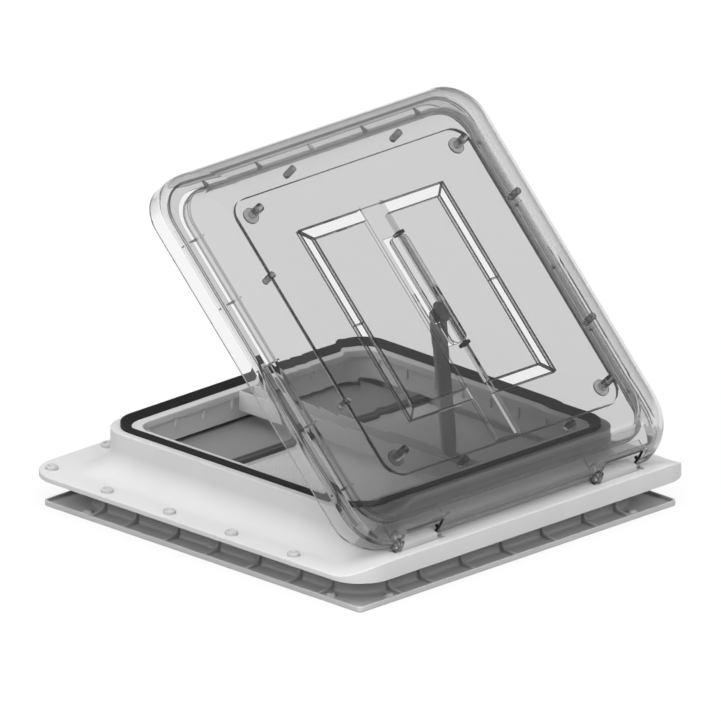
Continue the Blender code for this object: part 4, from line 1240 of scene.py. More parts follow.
@dataclass
class InteriorFrame(Assembly):
    """Trim tray under the roof: upturned rim, ribbed outer sleeve, inner sleeve and screw towers."""

    frame: OuterFrame
    half: float = 215.0
    corner: float = 4.5
    floor: float = 2.3
    rim_width: float = 2.2
    rim_top: float = 5.7
    rim_round: float = 0.8
    sleeve_half: float = 190.0
    sleeve_wall: float = 2.6
    sleeve_top: float = 29.0
    sleeve_edge: float = 0.5
    inner_top: float = 40.0
    well_edge: float = 1.0
    fillet: float = 3.0
    tower_foot: float = 1.2
    tower_top: float = 15.7
    bore_radius: float = 4.6
    bore_top: float = 7.0
    hole_radius: float = 2.4
    rib_steps: tuple[float, ...] = (-154.0, -111.0, -55.4, 0.0, 55.4, 111.0, 154.0)
    rib_reach: float = 22.9
    rib_thickness: float = 2.2
    rib_top: float = 25.0
    rib_sink: float = 0.2
    boss_at: Point = (204.0, 165.0)
    boss_foot: float = 6.0
    boss_top: float = 3.2
    boss_height: float = 3.3

    def radius_at(self, half: float) -> float:
        """Corner radius of the tray at a half size.

        Args:
            half: the half size.

        Returns:
            The radius.
        """
        in_tray = half > self.sleeve_half + self.fillet + self.sleeve_edge
        return self.corner if in_tray else self.frame.radius_at(half)

    def section(self, hinge: float) -> list[Point]:
        """Section of the tray, the same all round.

        Args:
            hinge: share of the hinge side, which changes nothing here.

        Returns:
            Half size and height pairs.
        """
        edge = self.rim_round
        rim_in = self.half - self.rim_width
        sleeve_in = self.sleeve_half - self.sleeve_wall
        well = self.frame.well_half
        inner_out = well + self.frame.well_wall
        points = arc((self.half - edge, edge), edge, 270.0, 360.0, 4)
        points += arc((self.half - edge, self.rim_top - edge), edge, 0.0, 90.0, 4)
        points += arc((rim_in + edge, self.rim_top - edge), edge, 90.0, 180.0, 4)
        points += arc((rim_in - edge, self.floor + edge), edge, 360.0, 270.0, 3)
        hollow = (self.sleeve_half + self.fillet, self.floor + self.fillet)
        points += arc(hollow, self.fillet, 270.0, 180.0, 5)
        return points + [
            (self.sleeve_half, self.sleeve_top - self.sleeve_edge),
            (self.sleeve_half - self.sleeve_edge, self.sleeve_top),
            (sleeve_in, self.sleeve_top),
            (sleeve_in, self.floor),
            (inner_out, self.floor),
            (inner_out, self.inner_top),
            (well, self.inner_top),
            (well, self.well_edge),
            (well + self.well_edge, 0.0),
        ]

    def build(self, palette: Palette) -> None:
        """Make the tray, its ribs and its small bosses."""
        body = Shape().sweep(self.section, self.radius_at).piece("trim_tray", palette.trim)
        towers, bores, holes = Shape(), Shape(), Shape()
        for x, y in corners(self.frame.tower_offset):
            towers.rod((x, y, self.tower_foot), (x, y, self.tower_top), self.frame.tower_radius)
            bores.rod((x, y, -PAST), (x, y, self.bore_top), self.bore_radius)
            holes.rod((x, y, self.bore_top - PAST), (x, y, self.tower_top + PAST), self.hole_radius)
        combine(body, towers, Cut.JOIN)
        combine(body, bores, Cut.TAKE)
        combine(body, holes, Cut.TAKE)
        soften(body)
        self.keep(body, Body.BASE, "white_trim", "interior_frame")

        # Upright against the sleeve that sweeps out into a low foot, in shares of the rib's reach and height
        outline = [(0.0, 0.0), (0.0, 1.0), (0.07, 1.0)]
        outline += curve((0.09, 0.97), (0.11, 0.2), (0.34, 0.17), 8)
        outline += [(1.0, 0.1), (1.0, 0.0)]
        rib = Shape().prism(outline, -0.5, 0.5, Axis.Y)
        start, foot = self.sleeve_half - self.rib_sink, self.floor - self.rib_sink
        places = four_sides([Vector((start, step, foot)) for step in self.rib_steps])
        size = (self.rib_reach, self.rib_thickness, self.rib_top - self.floor)
        ribs = Repeat("sleeve_ribs", rib, places, size).piece(palette.trim)
        soften(ribs, Edge.RIB)
        self.keep(ribs, Body.BASE, "white_trim")

        cone = Shape().lathe([(0.0, 1.0), (self.boss_top / self.boss_foot, 1.0), (1.0, 0.0), (0.0, 0.0)])
        far, near = self.boss_at
        foot = self.floor - SINK
        places = []
        for x, y in corners(1.0):
            places += [(Vector((x * far, y * near, foot)), 0.0), (Vector((x * near, y * far, foot)), 0.0)]
        size = (self.boss_foot, self.boss_foot, self.boss_height)
        bosses = Repeat("tray_bosses", cone, places, size).piece(palette.trim)
        soften(bosses, Edge.SMALL)
        self.keep(bosses, Body.BASE, "white_trim")


@dataclass
class Shades(Assembly):
    """Blackout blind and flyscreen, met at their end bars under the well."""

    half_x: float = 151.5
    blind_y: Point = (80.1, 165.0)
    net_y: Point = (-165.0, 68.7)
    mid_z: float = 47.0
    cloth_thickness: float = 0.5
    net_pitch: float = 1.9
    strand: float = 0.42
    bar_half_x: float = 160.6
    bar_z: Point = (43.0, 51.0)
    blind_bar_y: Point = (74.6, 80.0)
    screen_bar_y: Point = (68.8, 74.3)
    blind_rest: float = 15.7
    net_rest: float = 15.5
    blind: Object = field(init=False)
    net: Object = field(init=False)

    def strands(self, warp: bool, material: Material) -> Object:
        """Make the strands of the net that run one way.

        Args:
            warp: the strands run along Y and lie on the others, or else along X.
            material: the finish.

        Returns:
            The strands as one piece.
        """
        width, length = 2.0 * self.half_x, self.net_y[1] - self.net_y[0]
        low, row, run = (-self.half_x, width, length) if warp else (self.net_y[0], length, width)
        middle = sum(self.net_y) / 2.0
        places = []
        for step in range(int((row - self.strand) / self.net_pitch) + 1):
            at = low + self.strand / 2.0 + step * self.net_pitch
            point = (at, middle, self.mid_z + GAP) if warp else (0.0, at, self.mid_z)
            places.append((Vector(point), 90.0 if warp else 0.0))
        unit = span(0.0, 0.5)
        size = (run, self.strand, self.strand)
        name = "net_warp" if warp else "net_weft"
        return Repeat(name, Shape().box(unit, unit, unit), places, size).piece(material)

    def build(self, palette: Palette) -> None:
        """Make the cloth, the net and the two bars."""
        thickness = span(self.mid_z, self.cloth_thickness / 2.0)
        shape = Shape().box(span(0.0, self.half_x), self.blind_y, thickness)
        self.blind = shape.piece("blind_cloth", palette.cloth)
        self.keep(self.blind, Body.BASE, "blind_cloth", "blind_fabric")

        self.net = self.strands(False, palette.yarn)
        warp = self.strands(True, palette.yarn)
        merged = bmesh.new()
        merged.from_mesh(self.net.data)
        merged.from_mesh(warp.data)
        merged.to_mesh(self.net.data)
        merged.free()
        self.net.name = "flyscreen_mesh"
        bpy.data.objects.remove(warp, do_unlink=True)
        self.keep(self.net, Body.BASE, "screen_mesh", "flyscreen_net")

        bars = ((Body.BLIND, self.blind_bar_y), (Body.SCREEN, self.screen_bar_y))
        for body, ends in bars:
            shape = Shape().box(span(0.0, self.bar_half_x), ends, self.bar_z)
            bar = shape.piece(body.value + "_bar", palette.bar)
            soften(bar, Edge.BAR, segments=3)
            self.keep(bar, body, "bar_grey", body.value + "_end_bar")

    def dress(self) -> None:
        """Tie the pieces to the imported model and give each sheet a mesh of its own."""
        super().dress()
        sheets = (
            (self.blind, "blind_slide", self.blind_y, self.blind_y[1], self.blind_rest, "blind_bar"),
            (self.net, "screen_slide", self.net_y, self.net_y[0], self.net_rest, "screen_bar"),
        )
        for made, joint, (low, high), end, rest, bar in sheets:
            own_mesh(made)


@dataclass
class LiftLink(Assembly):
    """Bridge across the well, the lift arm on its bracket, and the block that runs in the lid's rail."""

    foot: Point = (-121.3, 68.8)
    slide: Point = (-104.14, 219.96)
    well_end: float = 152.9
    bridge_half: float = 11.5
    bridge_wall: float = 2.2
    bridge_z: Point = (60.3, 80.0)
    bridge_floor: float = 62.6
    cheek_in: float = 7.2
    cheek_out: float = 9.0
    cheek_half: float = 17.0
    cheek_top: float = 83.5
    cheek_dome: float = 13.6
    cheek_floor: float = 1.5
    arm_half: float = 8.6
    head_half: float = 9.4
    foot_half: float = 6.9
    foot_length: float = 19.0
    thickness: float = 4.0
    neck: tuple[Point, ...] = ((0.0, -2.0), (0.5, 1.0))
    neck_end: float = 4.0
    head_flare: float = 5.0
    ear_inset: float = 1.0
    ear_step: Point = (6.0, 4.4)
    ear_end: float = 1.0
    fork_half: float = 5.6
    fork_depth: float = 9.0
    foot_knuckle: float = 4.0
    head_knuckle: float = 3.4
    pad_length: float = 31.0
    pad_inset: float = 1.6
    pad_start: float = 4.0
    pad_stop: float = 10.0
    pad_rise: float = 0.9
    block_play: float = 0.4
    block_half: float = 6.0
    block_z: Point = (-3.7, 6.0)
    head_round: float = 6.0
    head_reach: float = 11.0
    head_z: Point = (5.9, 7.6)

    def build(self, palette: Palette) -> None:
        """Make the bridge, bracket, arm and block."""
        inner = self.bridge_half - self.bridge_wall
        low, high = self.bridge_z
        right = [(self.bridge_half, low), (self.bridge_half, high), (inner, high), (inner, self.bridge_floor)]
        outline = right + [(-x, z) for x, z in reversed(right)]
        bridge = Shape().prism(outline, *span(0.0, self.well_end), Axis.Y).piece("bridge", palette.white)
        soften(bridge, Edge.BEAM)
        self.keep(bridge, Body.BASE, "white_moulding", "bridge_beam")

        seat = self.bridge_floor + GAP
        ends = span(self.foot[0], self.cheek_half)
        cheek = [(ends[0], seat), (ends[1], seat)]
        for x, y in arc((0.0, 0.0), 1.0, 0.0, 180.0, 18):
            height = self.cheek_top - self.cheek_dome + self.cheek_dome * y
            cheek.append((self.foot[0] + self.cheek_half * x, height))
        bracket = Shape().prism(cheek, *span(0.0, self.cheek_out), Axis.X).piece("saddle", palette.arm)
        void = Shape().box(
            span(0.0, self.cheek_in),
            span(self.foot[0], self.cheek_half + PAST),
            (seat + self.cheek_floor, self.cheek_top + PAST),
        )
        combine(bracket, void, Cut.TAKE)
        soften(bracket, Edge.SMALL)
        self.keep(bracket, Body.BASE, "arm_grey", "arm_bracket")

        line = Vector((0.0, self.slide[0] - self.foot[0], self.slide[1] - self.foot[1]))
        lean = math.atan2(line.z, line.y)
        stand = Matrix.Translation((0.0, *self.foot)) @ Matrix.Rotation(lean, 4, "X")
        self.keep(self.strap(line.length, stand, palette), Body.ARM, "arm_grey", "lift_arm")

        turn = Matrix.Translation((0.0, *self.slide)) @ Matrix.Rotation(math.radians(OPENING), 4, "X")
        neck = span(0.0, self.fork_half - self.block_play)
        shape = Shape(turn).box(neck, span(0.0, self.block_half), self.block_z)
        block = shape.piece("rail_slider", palette.slider)
        far = self.head_reach - self.head_round
        plan = arc((0.0, far), self.head_round, 0.0, 180.0, 14)
        plan += arc((0.0, -far), self.head_round, 180.0, 360.0, 14)
        combine(block, Shape(turn).prism(plan, *self.head_z, Axis.Z), Cut.JOIN)
        soften(block, Edge.SMALL)
        self.keep(block, Body.SLIDER, "arm_grey", "slide_block")

    def strap(self, length: float, stand: Matrix, palette: Palette) -> Object:
        """Make the arm along its own Y axis and stand it in place.

        Args:
            length: from pin to pin.
            stand: where it goes.
            palette: the finishes.

        Returns:
            The arm.
        """
        head = length - self.pad_length
        ear = self.head_half - self.ear_inset
        right = [(self.foot_half, 0.0)]
        right += [(self.foot_half + out, self.foot_length + along) for out, along in self.neck]
        right += [
            (self.arm_half, self.foot_length + self.neck_end),
            (self.arm_half, head),
            (self.head_half, head + self.head_flare),
            (self.head_half, length - self.ear_step[0]),
            (ear, length - self.ear_step[1]),
            (ear, length + self.ear_end),
            (self.fork_half, length + self.ear_end),
            (self.fork_half, length - self.fork_depth),
        ]
        outline = right + [(-x, y) for x, y in reversed(right)]
        half = self.thickness / 2.0
        arm = Shape(stand).prism(outline, -half, half, Axis.Z).piece("arm_strap", palette.arm)
        joins = Shape(stand)
        foot = self.foot_half + SINK
        joins.rod((-foot, 0.0, 0.0), (foot, 0.0, 0.0), self.foot_knuckle)
        for side in SIDES:
            near, far = side * (self.fork_half - SINK), side * (ear + SINK)
            joins.rod((near, length, 0.0), (far, length, 0.0), self.head_knuckle)
        wide = self.head_half - self.pad_inset
        stop = length - self.pad_stop
        pad = arc((0.0, head + self.pad_start + wide), wide, 180.0, 360.0, 16) + [(wide, stop), (-wide, stop)]
        joins.prism(pad, *span(0.0, half + self.pad_rise), Axis.Z)
        combine(arm, joins, Cut.JOIN)
        soften(arm, Edge.STRAP)
        return arm


@dataclass
class Hinges(Assembly):
    """Knuckle blocks on the deck and the lid's leaves that turn on them."""

    swing: Matrix
    centre_x: float = 135.1
    axis_y: float = -212.4
    axis_z: float = 53.3
    half_x: float = 24.3
    front: float = -3.8
    back: float = 6.4
    ridge: float = 4.4
    eaves_z: float = 2.5
    ridge_z: float = 7.6
    hip: float = 4.5
    foot: float = 47.8
    radius: float = 4.7
    ring_in: float = 24.6
    ring_out: float = 30.9
    bore: float = 2.1
    plate_b: float = 7.8
    plate: float = 2.5
    plate_a: Point = (9.0, 21.0)
    leaf_half: float = 37.0
    upright_a: Point = (10.0, 12.0)
    upright_top: float = 21.0
    upright_inset: float = 0.5
    upright_sink: float = 0.8
    eye_a: Point = (-1.0, 9.8)
    eye_inset: Point = (0.4, 0.3)
    eye_from: float = 150.0
    mark: Point = (11.0, 2.2)
    mark_depth: float = 0.7

    def block(self, middle: float) -> Shape:
        """Make one hinge block: upright front, sloped top and hipped ends.

        Args:
            middle: where it stands along X.

        Returns:
            The shape.
        """
        shape = Shape()
        eaves, ridge = self.axis_z + self.eaves_z, self.axis_z + self.ridge_z
        front, back = self.axis_y + self.front, self.axis_y + self.back
        ends = []
        for side in SIDES:
            x = middle + side * self.half_x
            hip = x - side * self.hip
            ring = [(x, front, self.foot), (x, front, eaves), (hip, self.axis_y + self.ridge, ridge)]
            ring += [(hip, back, ridge), (x, back, eaves), (x, back, self.foot)]
            ends.append(shape.points(ring))
        for end in ends:
            shape.body.faces.new((end[0], end[1], end[4], end[5]))
            shape.body.faces.new(end[1:5])
        shape.strip(*ends)
        return shape

    def leaf(self, name: str, middle: float, palette: Palette) -> Object:
        """Make one leaf of the lid: plate, upright and eye.

        Args:
            name: the piece's name.
            middle: where it is along X.
            palette: the finishes.

        Returns:
            The leaf.
        """
        top = self.plate_b + self.plate
        shape = Shape(self.swing).box(span(middle, self.leaf_half), self.plate_a, (self.plate_b, top))
        leaf = shape.piece(name, palette.outer_clear)
        upright_b = (self.plate_b + self.upright_sink, self.upright_top)
        joins = Shape(self.swing)
        joins.box(span(middle, self.leaf_half - self.upright_inset), self.upright_a, upright_b)
        tip, root = self.eye_a
        low, high = self.plate_b + self.eye_inset[0], top - self.eye_inset[1]
        eye = [(root, low), (root, high), (tip, high)]
        eye += arc((0.0, 0.0), self.radius, self.eye_from, 360.0, 20)
        joins.prism(eye, middle - self.ring_out, middle - self.ring_in, Axis.X)
        combine(leaf, joins, Cut.JOIN)
        start, end = span(middle, self.leaf_half + PAST)
        combine(leaf, Shape(self.swing).rod((start, 0.0, 0.0), (end, 0.0, 0.0), self.bore), Cut.TAKE)
        soften(leaf)
        return leaf

    def build(self, palette: Palette) -> None:
        """Make both hinges."""
        lean = math.atan2(self.ridge_z - self.eaves_z, self.ridge - self.front)
        slope_y = self.axis_y + (self.front + self.ridge) / 2.0
        slope_z = self.axis_z + (self.eaves_z + self.ridge_z) / 2.0
        for side, name in zip(SIDES, ("left", "right")):
            middle = side * self.centre_x
            knuckle = self.block(middle).piece("knuckle_" + name, palette.cap)
            soften(knuckle, Edge.BLOCK, segments=3)
            stand = Matrix.Translation((middle, slope_y, slope_z)) @ Matrix.Rotation(lean, 4, "X")
            half_x, half_y = self.mark[0] / 2.0, self.mark[1] / 2.0
            groove = Shape(stand).box(span(0.0, half_x), span(0.0, half_y), (-self.mark_depth, PAST))
            combine(knuckle, groove, Cut.TAKE)
            soften(knuckle)
            self.keep(knuckle, Body.BASE, "white_moulding", "hinge_knuckle_" + name)
            leaf = self.leaf("leaf_" + name, middle, palette)
            self.keep(leaf, Body.LID, "white_moulding", "hinge_leaf_" + name)


@dataclass
class Lid(Assembly):
    """Double-skinned clear lid: deep outer cap, inner panel with trough and framed field, and the rail."""

    swing: Matrix
    centre_a: float = 212.1
    half: float = 211.4
    corner: float = 41.0
    corner_loss: float = 0.38
    corner_steps: int = 18
    rim_b: float = -10.3
    top_b: float = 57.6
    skin: float = 2.8
    wall_draft: float = 0.4
    shoulder_half: float = 147.1
    shoulder_b: float = 2.0
    shoulder_stop: float = 11.0
    shelf_half: float = 193.2
    shelf_b: float = 5.2
    shelf: float = 2.2
    shelf_root: float = 202.3
    shelf_rise: float = 2.7
    shelf_step: float = 0.4
    shelf_slack: float = 0.4
    shelf_inset: Point = (0.3, 0.1)
    hinge_shelf: float = 3.2
    hinge_root: float = 1.6
    hinge_lean: float = 0.6
    notch_x: float = 135.1
    notch_half: float = 25.2
    notch_a: Point = (-6.0, 24.0)
    notch_b: float = 20.8
    panel_b: float = 34.0
    panel_skin: float = 2.2
    panel_flat: float = 172.0
    panel_inset: float = 20.0
    bend_under: tuple[Point, ...] = ((7.2, 0.0), (9.5, -8.0))
    bend_over: tuple[float, float, float] = (11.6, 9.2, 0.8)
    bend_drop: float = 7.4
    bend_steps: int = 9
    panel_edge: float = 187.7
    panel_edge_b: float = 7.7
    edge_rise: float = 1.2
    edge_band: float = 0.7
    skirt_b: float = 16.0
    skirt_inside: Point = (-0.8, -0.3)
    skirt_outside: tuple[float, float, float] = (2.1, 1.9, 1.4)
    bead_half: float = 157.6
    bead_foot: float = 0.6
    bead_crest: float = 0.4
    bead_rise: float = 3.6
    bead_lean: float = 0.75
    trough_half: float = 13.3
    trough_a: Point = (57.6, 320.0)
    trough_ceiling: float = 39.0
    trough_top: float = 41.2
    trough_sink: float = 0.9
    slot_half: float = 11.0
    slot_a: Point = (161.0, 284.0)
    field_half: float = 98.2
    field_a: Point = (103.3, 321.4)
    field_width: float = 13.4
    field_cut: float = 39.2
    field_rise: float = 3.5
    field_lip: float = 0.8
    field_sheet: float = 0.8
    line_width: float = 1.6
    line_slack: float = 0.2
    edge_line: float = 0.9
    tab_steps: tuple[float, ...] = (-142.8, -71.4, 0.0, 71.4, 142.8)
    tab_thickness: float = 1.4
    tab_gap: float = 0.3
    tab_root: Point = (-3.0, 18.0)
    tab_reach: float = 11.0
    tab_tip: float = 1.6
    tab_under: Point = (1.0, 0.7)
    boss_offset: float = 138.9
    boss_radius: float = 8.5
    boss_ring: float = 2.0
    boss_gap: float = 0.2
    stud_radius: float = 4.2
    pin_line: float = 166.0
    pin_step: float = 72.0
    pin_radius: float = 3.5
    pin_top: float = 50.4
    rail_half: float = 10.3
    rail_cavity: float = 8.6
    rail_lip: float = 5.8
    rail_b: Point = (45.6, 51.6)
    rail_lip_top: float = 46.8
    rail_ceiling: float = 49.9
    rail_a: Point = (158.5, 281.0)
    rail_end: float = 7.0
    clip_length: float = 3.4
    clip_gap: float = 0.2
    clip_x: Point = (2.4, 10.3)

    def radius_at(self, half: float) -> float:
        """Corner radius of the lid at a half size.

        Args:
            half: the half size.

        Returns:
            The radius.
        """
        return self.corner - self.corner_loss * (self.half - half)

    def half_at(self, x: float, a: float) -> float:
        """Half size of the rounded square through a point.

        Args:
            x: the point along the hinge.
            a: the point outward from the hinge.

        Returns:
            The half size.
        """
        long, short = sorted((abs(x), abs(a - self.centre_a)), reverse=True)
        low, high = 0.0, 2.0 * self.half
        for _ in range(HALVINGS):
            middle = (low + high) / 2.0
            flat = middle - self.radius_at(middle)
            far = math.hypot(long - flat, short - flat) if short > flat else long - flat
            if far > self.radius_at(middle):
                low = middle
            else:
                high = middle
        return low

    def skin_section(self, hinge: float) -> list[Point]:
        """Section of the outer cap, from the middle underneath to the middle on top.

        Args:
            hinge: share of the hinge side, where the rim is cut short.

        Returns:
            Half size and height pairs.
        """
        rim = self.rim_b * (1.0 - hinge)
        reach = self.half - self.wall_draft - self.shoulder_half
        rise = self.top_b - self.shoulder_b
        wall = self.shoulder_half + reach - self.skin
        low, top = self.shelf_b, self.shelf_b + self.shelf
        crest = top + self.shelf_rise
        shelf = mix(self.shelf_half, wall - self.hinge_shelf, hinge)
        root_in, root_out = span(mix(self.shelf_root, wall - self.hinge_root, hinge), self.line_width / 2.0)
        start, foot = self.shoulder_half, self.shoulder_b
        points = []
        for x, y in arc((0.0, 0.0), 1.0, 90.0, self.shoulder_stop, 22):
            points.append((start + (reach - self.skin) * x, foot + (rise - self.skin) * y))
        points += [(wall - self.shelf_inset[0], crest), (root_out, crest), (root_in, crest - self.shelf_step)]
        points += [(shelf, top), (shelf, low), (root_in, low), (root_out, low)]
        points += [(wall - self.shelf_inset[1], low), (self.half - self.skin, rim), (self.half, rim)]
        for x, y in arc((0.0, 0.0), 1.0, 0.0, 90.0, 24):
            points.append((start + reach * x, foot + rise * y))
        return points

    def panel_section(self, hinge: float) -> list[Point]:
        """Section of the inner panel, from the middle underneath to the middle on top.

        Args:
            hinge: share of the hinge side, which changes nothing here.

        Returns:
            Half size and height pairs.
        """
        low, top = self.panel_b, self.panel_b + self.panel_skin
        flat, edge, foot = self.panel_flat, self.panel_edge, self.panel_edge_b
        under = [(flat + out, low + up) for out, up in self.bend_under]
        over = [(flat + out, up) for out, up in zip(self.bend_over, (low - self.bend_drop, top, top))]
        bend_low, bend_high = span(self.skirt_b, self.line_width / 2.0)
        full, lower, upper = self.skirt_outside
        points = [(flat - self.panel_inset, low)] + curve((flat, low), *under, self.bend_steps)
        points += [(edge + self.skirt_inside[0], bend_high), (edge + self.skirt_inside[1], bend_low)]
        points += [(edge, foot + self.edge_rise), (edge, foot), (edge + full, foot)]
        points += [(edge + full, foot + self.edge_rise), (edge + lower, bend_low), (edge + upper, bend_high)]
        points += curve(*over, self.bend_steps)
        side, crest = self.bead_foot, self.bead_crest
        for out, share in ((side, 0.0), (crest, 1.0), (-crest, 1.0), (-side, 0.0)):
            points.append((self.bead_half + out, top + share * self.bead_rise))
        return points

    def cap_finish(self, palette: Palette, centre: Vector, normal: Vector) -> Material | None:
        """Choose a finish for a face of the cap.

        Args:
            palette: the finishes.
            centre: the face's centre in the lid's frame.
            normal: its normal there.

        Returns:
            A painted dark line at the shelf's edge and root, the shelf's flat, the wall along the hinge
            tinted with painted shade, or None.
        """
        half = self.half_at(centre.x, centre.y)
        crest = self.shelf_b + self.shelf + self.shelf_rise
        above = centre.z > self.shelf_b - SINK
        edge = half < self.shelf_half + self.shelf_slack
        root = abs(half - self.shelf_root) < self.line_width / 2.0
        if above and centre.z < crest + SINK and (edge or root):
            return palette.painted_cap_line
        if above and centre.z < crest and abs(normal.z) > FACING and half < self.shelf_root:
            return palette.cap_shelf
        # The wall along the hinge takes a darker tint as painted shade
        if centre.y < self.corner and abs(normal.y) > self.hinge_lean:
            return palette.hinge_wall_painted_shade
        return None

    def panel_finish(self, palette: Palette, centre: Vector, normal: Vector) -> Material | None:
        """Choose a finish for a face of the panel.

        Args:
            palette: the finishes.
            centre: the face's centre in the lid's frame.
            normal: its normal there.

        Returns:
            Painted dark lines along the trough's walls and the bead, greyer painted lines at bend, edge and
            gussets, or None.
        """
        half = self.half_at(centre.x, centre.y)
        across, along = abs(centre.x), abs(centre.y - self.centre_a)
        foot, crest = self.panel_b + self.panel_skin, self.trough_top - self.edge_line
        if across < self.trough_half + self.panel_skin + self.line_slack and abs(normal.x) > FACING:
            line = foot < centre.z < foot + self.edge_line or centre.z > crest
            return palette.painted_root_line if line and normal.x < 0.0 else palette.inner_clear
        if abs(half - self.bead_half) < 2.0 * self.bead_foot and abs(normal.z) < self.bead_lean:
            return palette.painted_root_line
        edge = centre.z < self.panel_edge_b + self.edge_band
        bend = abs(centre.z - self.skirt_b) < self.line_width / 2.0 + self.line_slack
        gusset = abs(normal.y if across > along else normal.x) > FACING
        return palette.painted_grey_line if half > self.panel_flat and (edge or bend or gusset) else None

    def lip_finish(self, palette: Palette, centre: Vector, normal: Vector) -> Material | None:
        """Choose a finish for a face of the border's lips.

        Args:
            palette: the finishes.
            centre: the face's centre in the lid's frame.
            normal: its normal there.

        Returns:
            A painted dark line at their foot and crest and on the bars, or None.
        """
        half = (self.panel_skin + self.field_rise) / 2.0
        line = abs(centre.z - self.panel_b - half) > half - self.line_width
        bar = max(abs(normal.x), abs(normal.y)) < FACING
        return palette.painted_root_line if line or bar else None

    def rail_finish(self, palette: Palette, centre: Vector, normal: Vector) -> Material | None:
        """Choose a finish for a face of the rail.

        Args:
            palette: the finishes.
            centre: the face's centre in the lid's frame.
            normal: its normal there.

        Returns:
            A painted dark line along the foot and crest of its sides, or None.
        """
        low, high = self.rail_b
        line = centre.z < low + self.edge_line or centre.z > high - self.edge_line
        return palette.painted_root_line if line and abs(normal.z) < UPRIGHT else None

    def ring(self, outer: float, inner: float, *levels: float) -> Shape:
        """Make a flat rectangular ring round the field.

        Args:
            outer: inset of its outer edge.
            inner: inset of its inner edge.
            levels: heights at which its sides have an edge, from its underside to its top.

        Returns:
            The shape.
        """
        shape = Shape(self.swing)
        around = [(outer, level) for level in levels] + [(inner, level) for level in reversed(levels)]
        loops = []
        for inset, height in around:
            half = self.field_half - inset
            low, high = self.field_a[0] + inset, self.field_a[1] - inset
            ring = ((-half, low), (half, low), (half, high), (-half, high))
            loops.append(shape.points([(x, a, height) for x, a in ring]))
        for here, there in zip(loops, loops[1:] + loops[:1]):
            shape.strip(here, there)
        return shape

    def bars(self, low: float, high: float) -> Shape:
        """Make the thin bars across the border: a mitre in each corner and a tie half way up each side.

        Args:
            low: their underside.
            high: their top.

        Returns:
            The shape.
        """
        shape = Shape(self.swing)
        thin = self.field_lip / 2.0
        near, far = thin, self.field_width - thin
        outer, inner = self.field_half - near, self.field_half - far
        for side in SIDES:
            shape.box(sorted((side * outer, side * inner)), span(sum(self.field_a) / 2.0, thin), (low, high))
            for edge, inward in zip(self.field_a, (1.0, -1.0)):
                mitre = [
                    (side * (outer - thin), edge + inward * near),
                    (side * outer, edge + inward * (near + thin)),
                    (side * (inner + thin), edge + inward * far),
                    (side * inner, edge + inward * (far - thin)),
                ]
                shape.prism(mitre, low, high, Axis.Z)
        return shape

    def build(self, palette: Palette) -> None:
        """Make the lid's pieces."""
        sweep = (self.radius_at, self.centre_a, False, self.corner_steps)
        cap = Shape(self.swing).sweep(self.skin_section, *sweep).piece("lid_cap", palette.outer_clear)
        notches = Shape(self.swing)
        for side in SIDES:
            notches.box(span(side * self.notch_x, self.notch_half), self.notch_a, (-PAST, self.notch_b))
        combine(cap, notches, Cut.TAKE)
        soften(cap)
        dress_faces(cap, self.swing, partial(self.cap_finish, palette))
        self.keep(cap, Body.LID, "outer_clear", "lid_outer_skin")
        pane = Shape(self.swing).sweep(self.panel_section, *sweep)
        self.build_panel(pane.piece("lid_inner_pane", palette.inner_clear), palette)
        self.build_border(palette)
        self.build_spacers(palette)
        self.build_rail(palette)

    def build_panel(self, panel: Object, palette: Palette) -> None:
        """Give the inner panel its trough, slot, gussets and the opening for its border.

        Args:
            panel: the plain panel, changed in place.
            palette: the finishes.
        """
        low, wall = self.panel_b, self.panel_skin
        joins = Shape(self.swing)
        trough_a = (self.trough_a[0] - wall, self.trough_a[1] + wall)
        joins.box(span(0.0, self.trough_half + wall), trough_a, (low + self.trough_sink, self.trough_top))
        clear = self.shelf_b + self.shelf + self.tab_gap
        edge, tip = self.panel_edge, self.panel_edge + self.tab_reach
        outline = [(edge + self.tab_root[0], self.tab_root[1]), (tip, clear + self.tab_tip), (tip, clear)]
        outline += [(edge + self.tab_under[0], clear + self.tab_under[1])]
        half = self.tab_thickness / 2.0
        for step in self.tab_steps:
            for side in SIDES:
                across = [(side * reach, height) for reach, height in outline]
                joins.prism(across, *span(self.centre_a + step, half), Axis.Y)
            along = [(self.centre_a + reach, height) for reach, height in outline]
            joins.prism(along, *span(step, half), Axis.X)
        combine(panel, joins, Cut.JOIN)
        void_b = (low - PAST, self.trough_ceiling)
        void = Shape(self.swing).box(span(0.0, self.trough_half), self.trough_a, void_b)
        combine(panel, void, Cut.TAKE)
        slot = Shape(self.swing).box(span(0.0, self.slot_half), self.slot_a, (low, self.trough_top + PAST))
        combine(panel, slot, Cut.TAKE)
        combine(panel, self.ring(0.0, self.field_width, low - PAST, self.field_cut), Cut.TAKE)
        score(panel, self.swing, (low + wall + self.edge_line, self.trough_top - self.edge_line))
        soften(panel)
        dress_faces(panel, self.swing, partial(self.panel_finish, palette))
        self.keep(panel, Body.LID, "inner_clear", "lid_inner_panel")

    def build_border(self, palette: Palette) -> None:
        """Make the clear border of the field.

        Args:
            palette: the finishes.
        """
        # The border's sheet is thin, so it stays white beside the greyer panel, between two standing lips
        low, wall = self.panel_b, self.panel_skin
        lip, width = self.field_lip, self.field_width
        shape = self.ring(lip + GAP, width - lip - GAP, low, low + self.field_sheet)
        sheet = shape.piece("field_border", palette.edge_clear)
        crest = low + wall + self.field_rise
        levels = (low, low + self.line_width, crest - self.line_width, crest)
        lips = self.ring(GAP, lip, *levels).piece("field_lips", palette.smoked)
        combine(lips, self.ring(width - lip, width - GAP, *levels), Cut.JOIN)
        combine(lips, self.bars(low + self.field_sheet + GAP, crest), Cut.JOIN)
        trough_x = span(0.0, self.trough_half + wall)
        trough_a = (self.trough_a[0], self.trough_a[1] + wall)
        for made in (sheet, lips):
            combine(made, Shape(self.swing).box(trough_x, trough_a, (low - PAST, crest + PAST)), Cut.TAKE)
            soften(made)
            self.keep(made, Body.LID, "inner_clear")
        dress_faces(lips, self.swing, partial(self.lip_finish, palette))

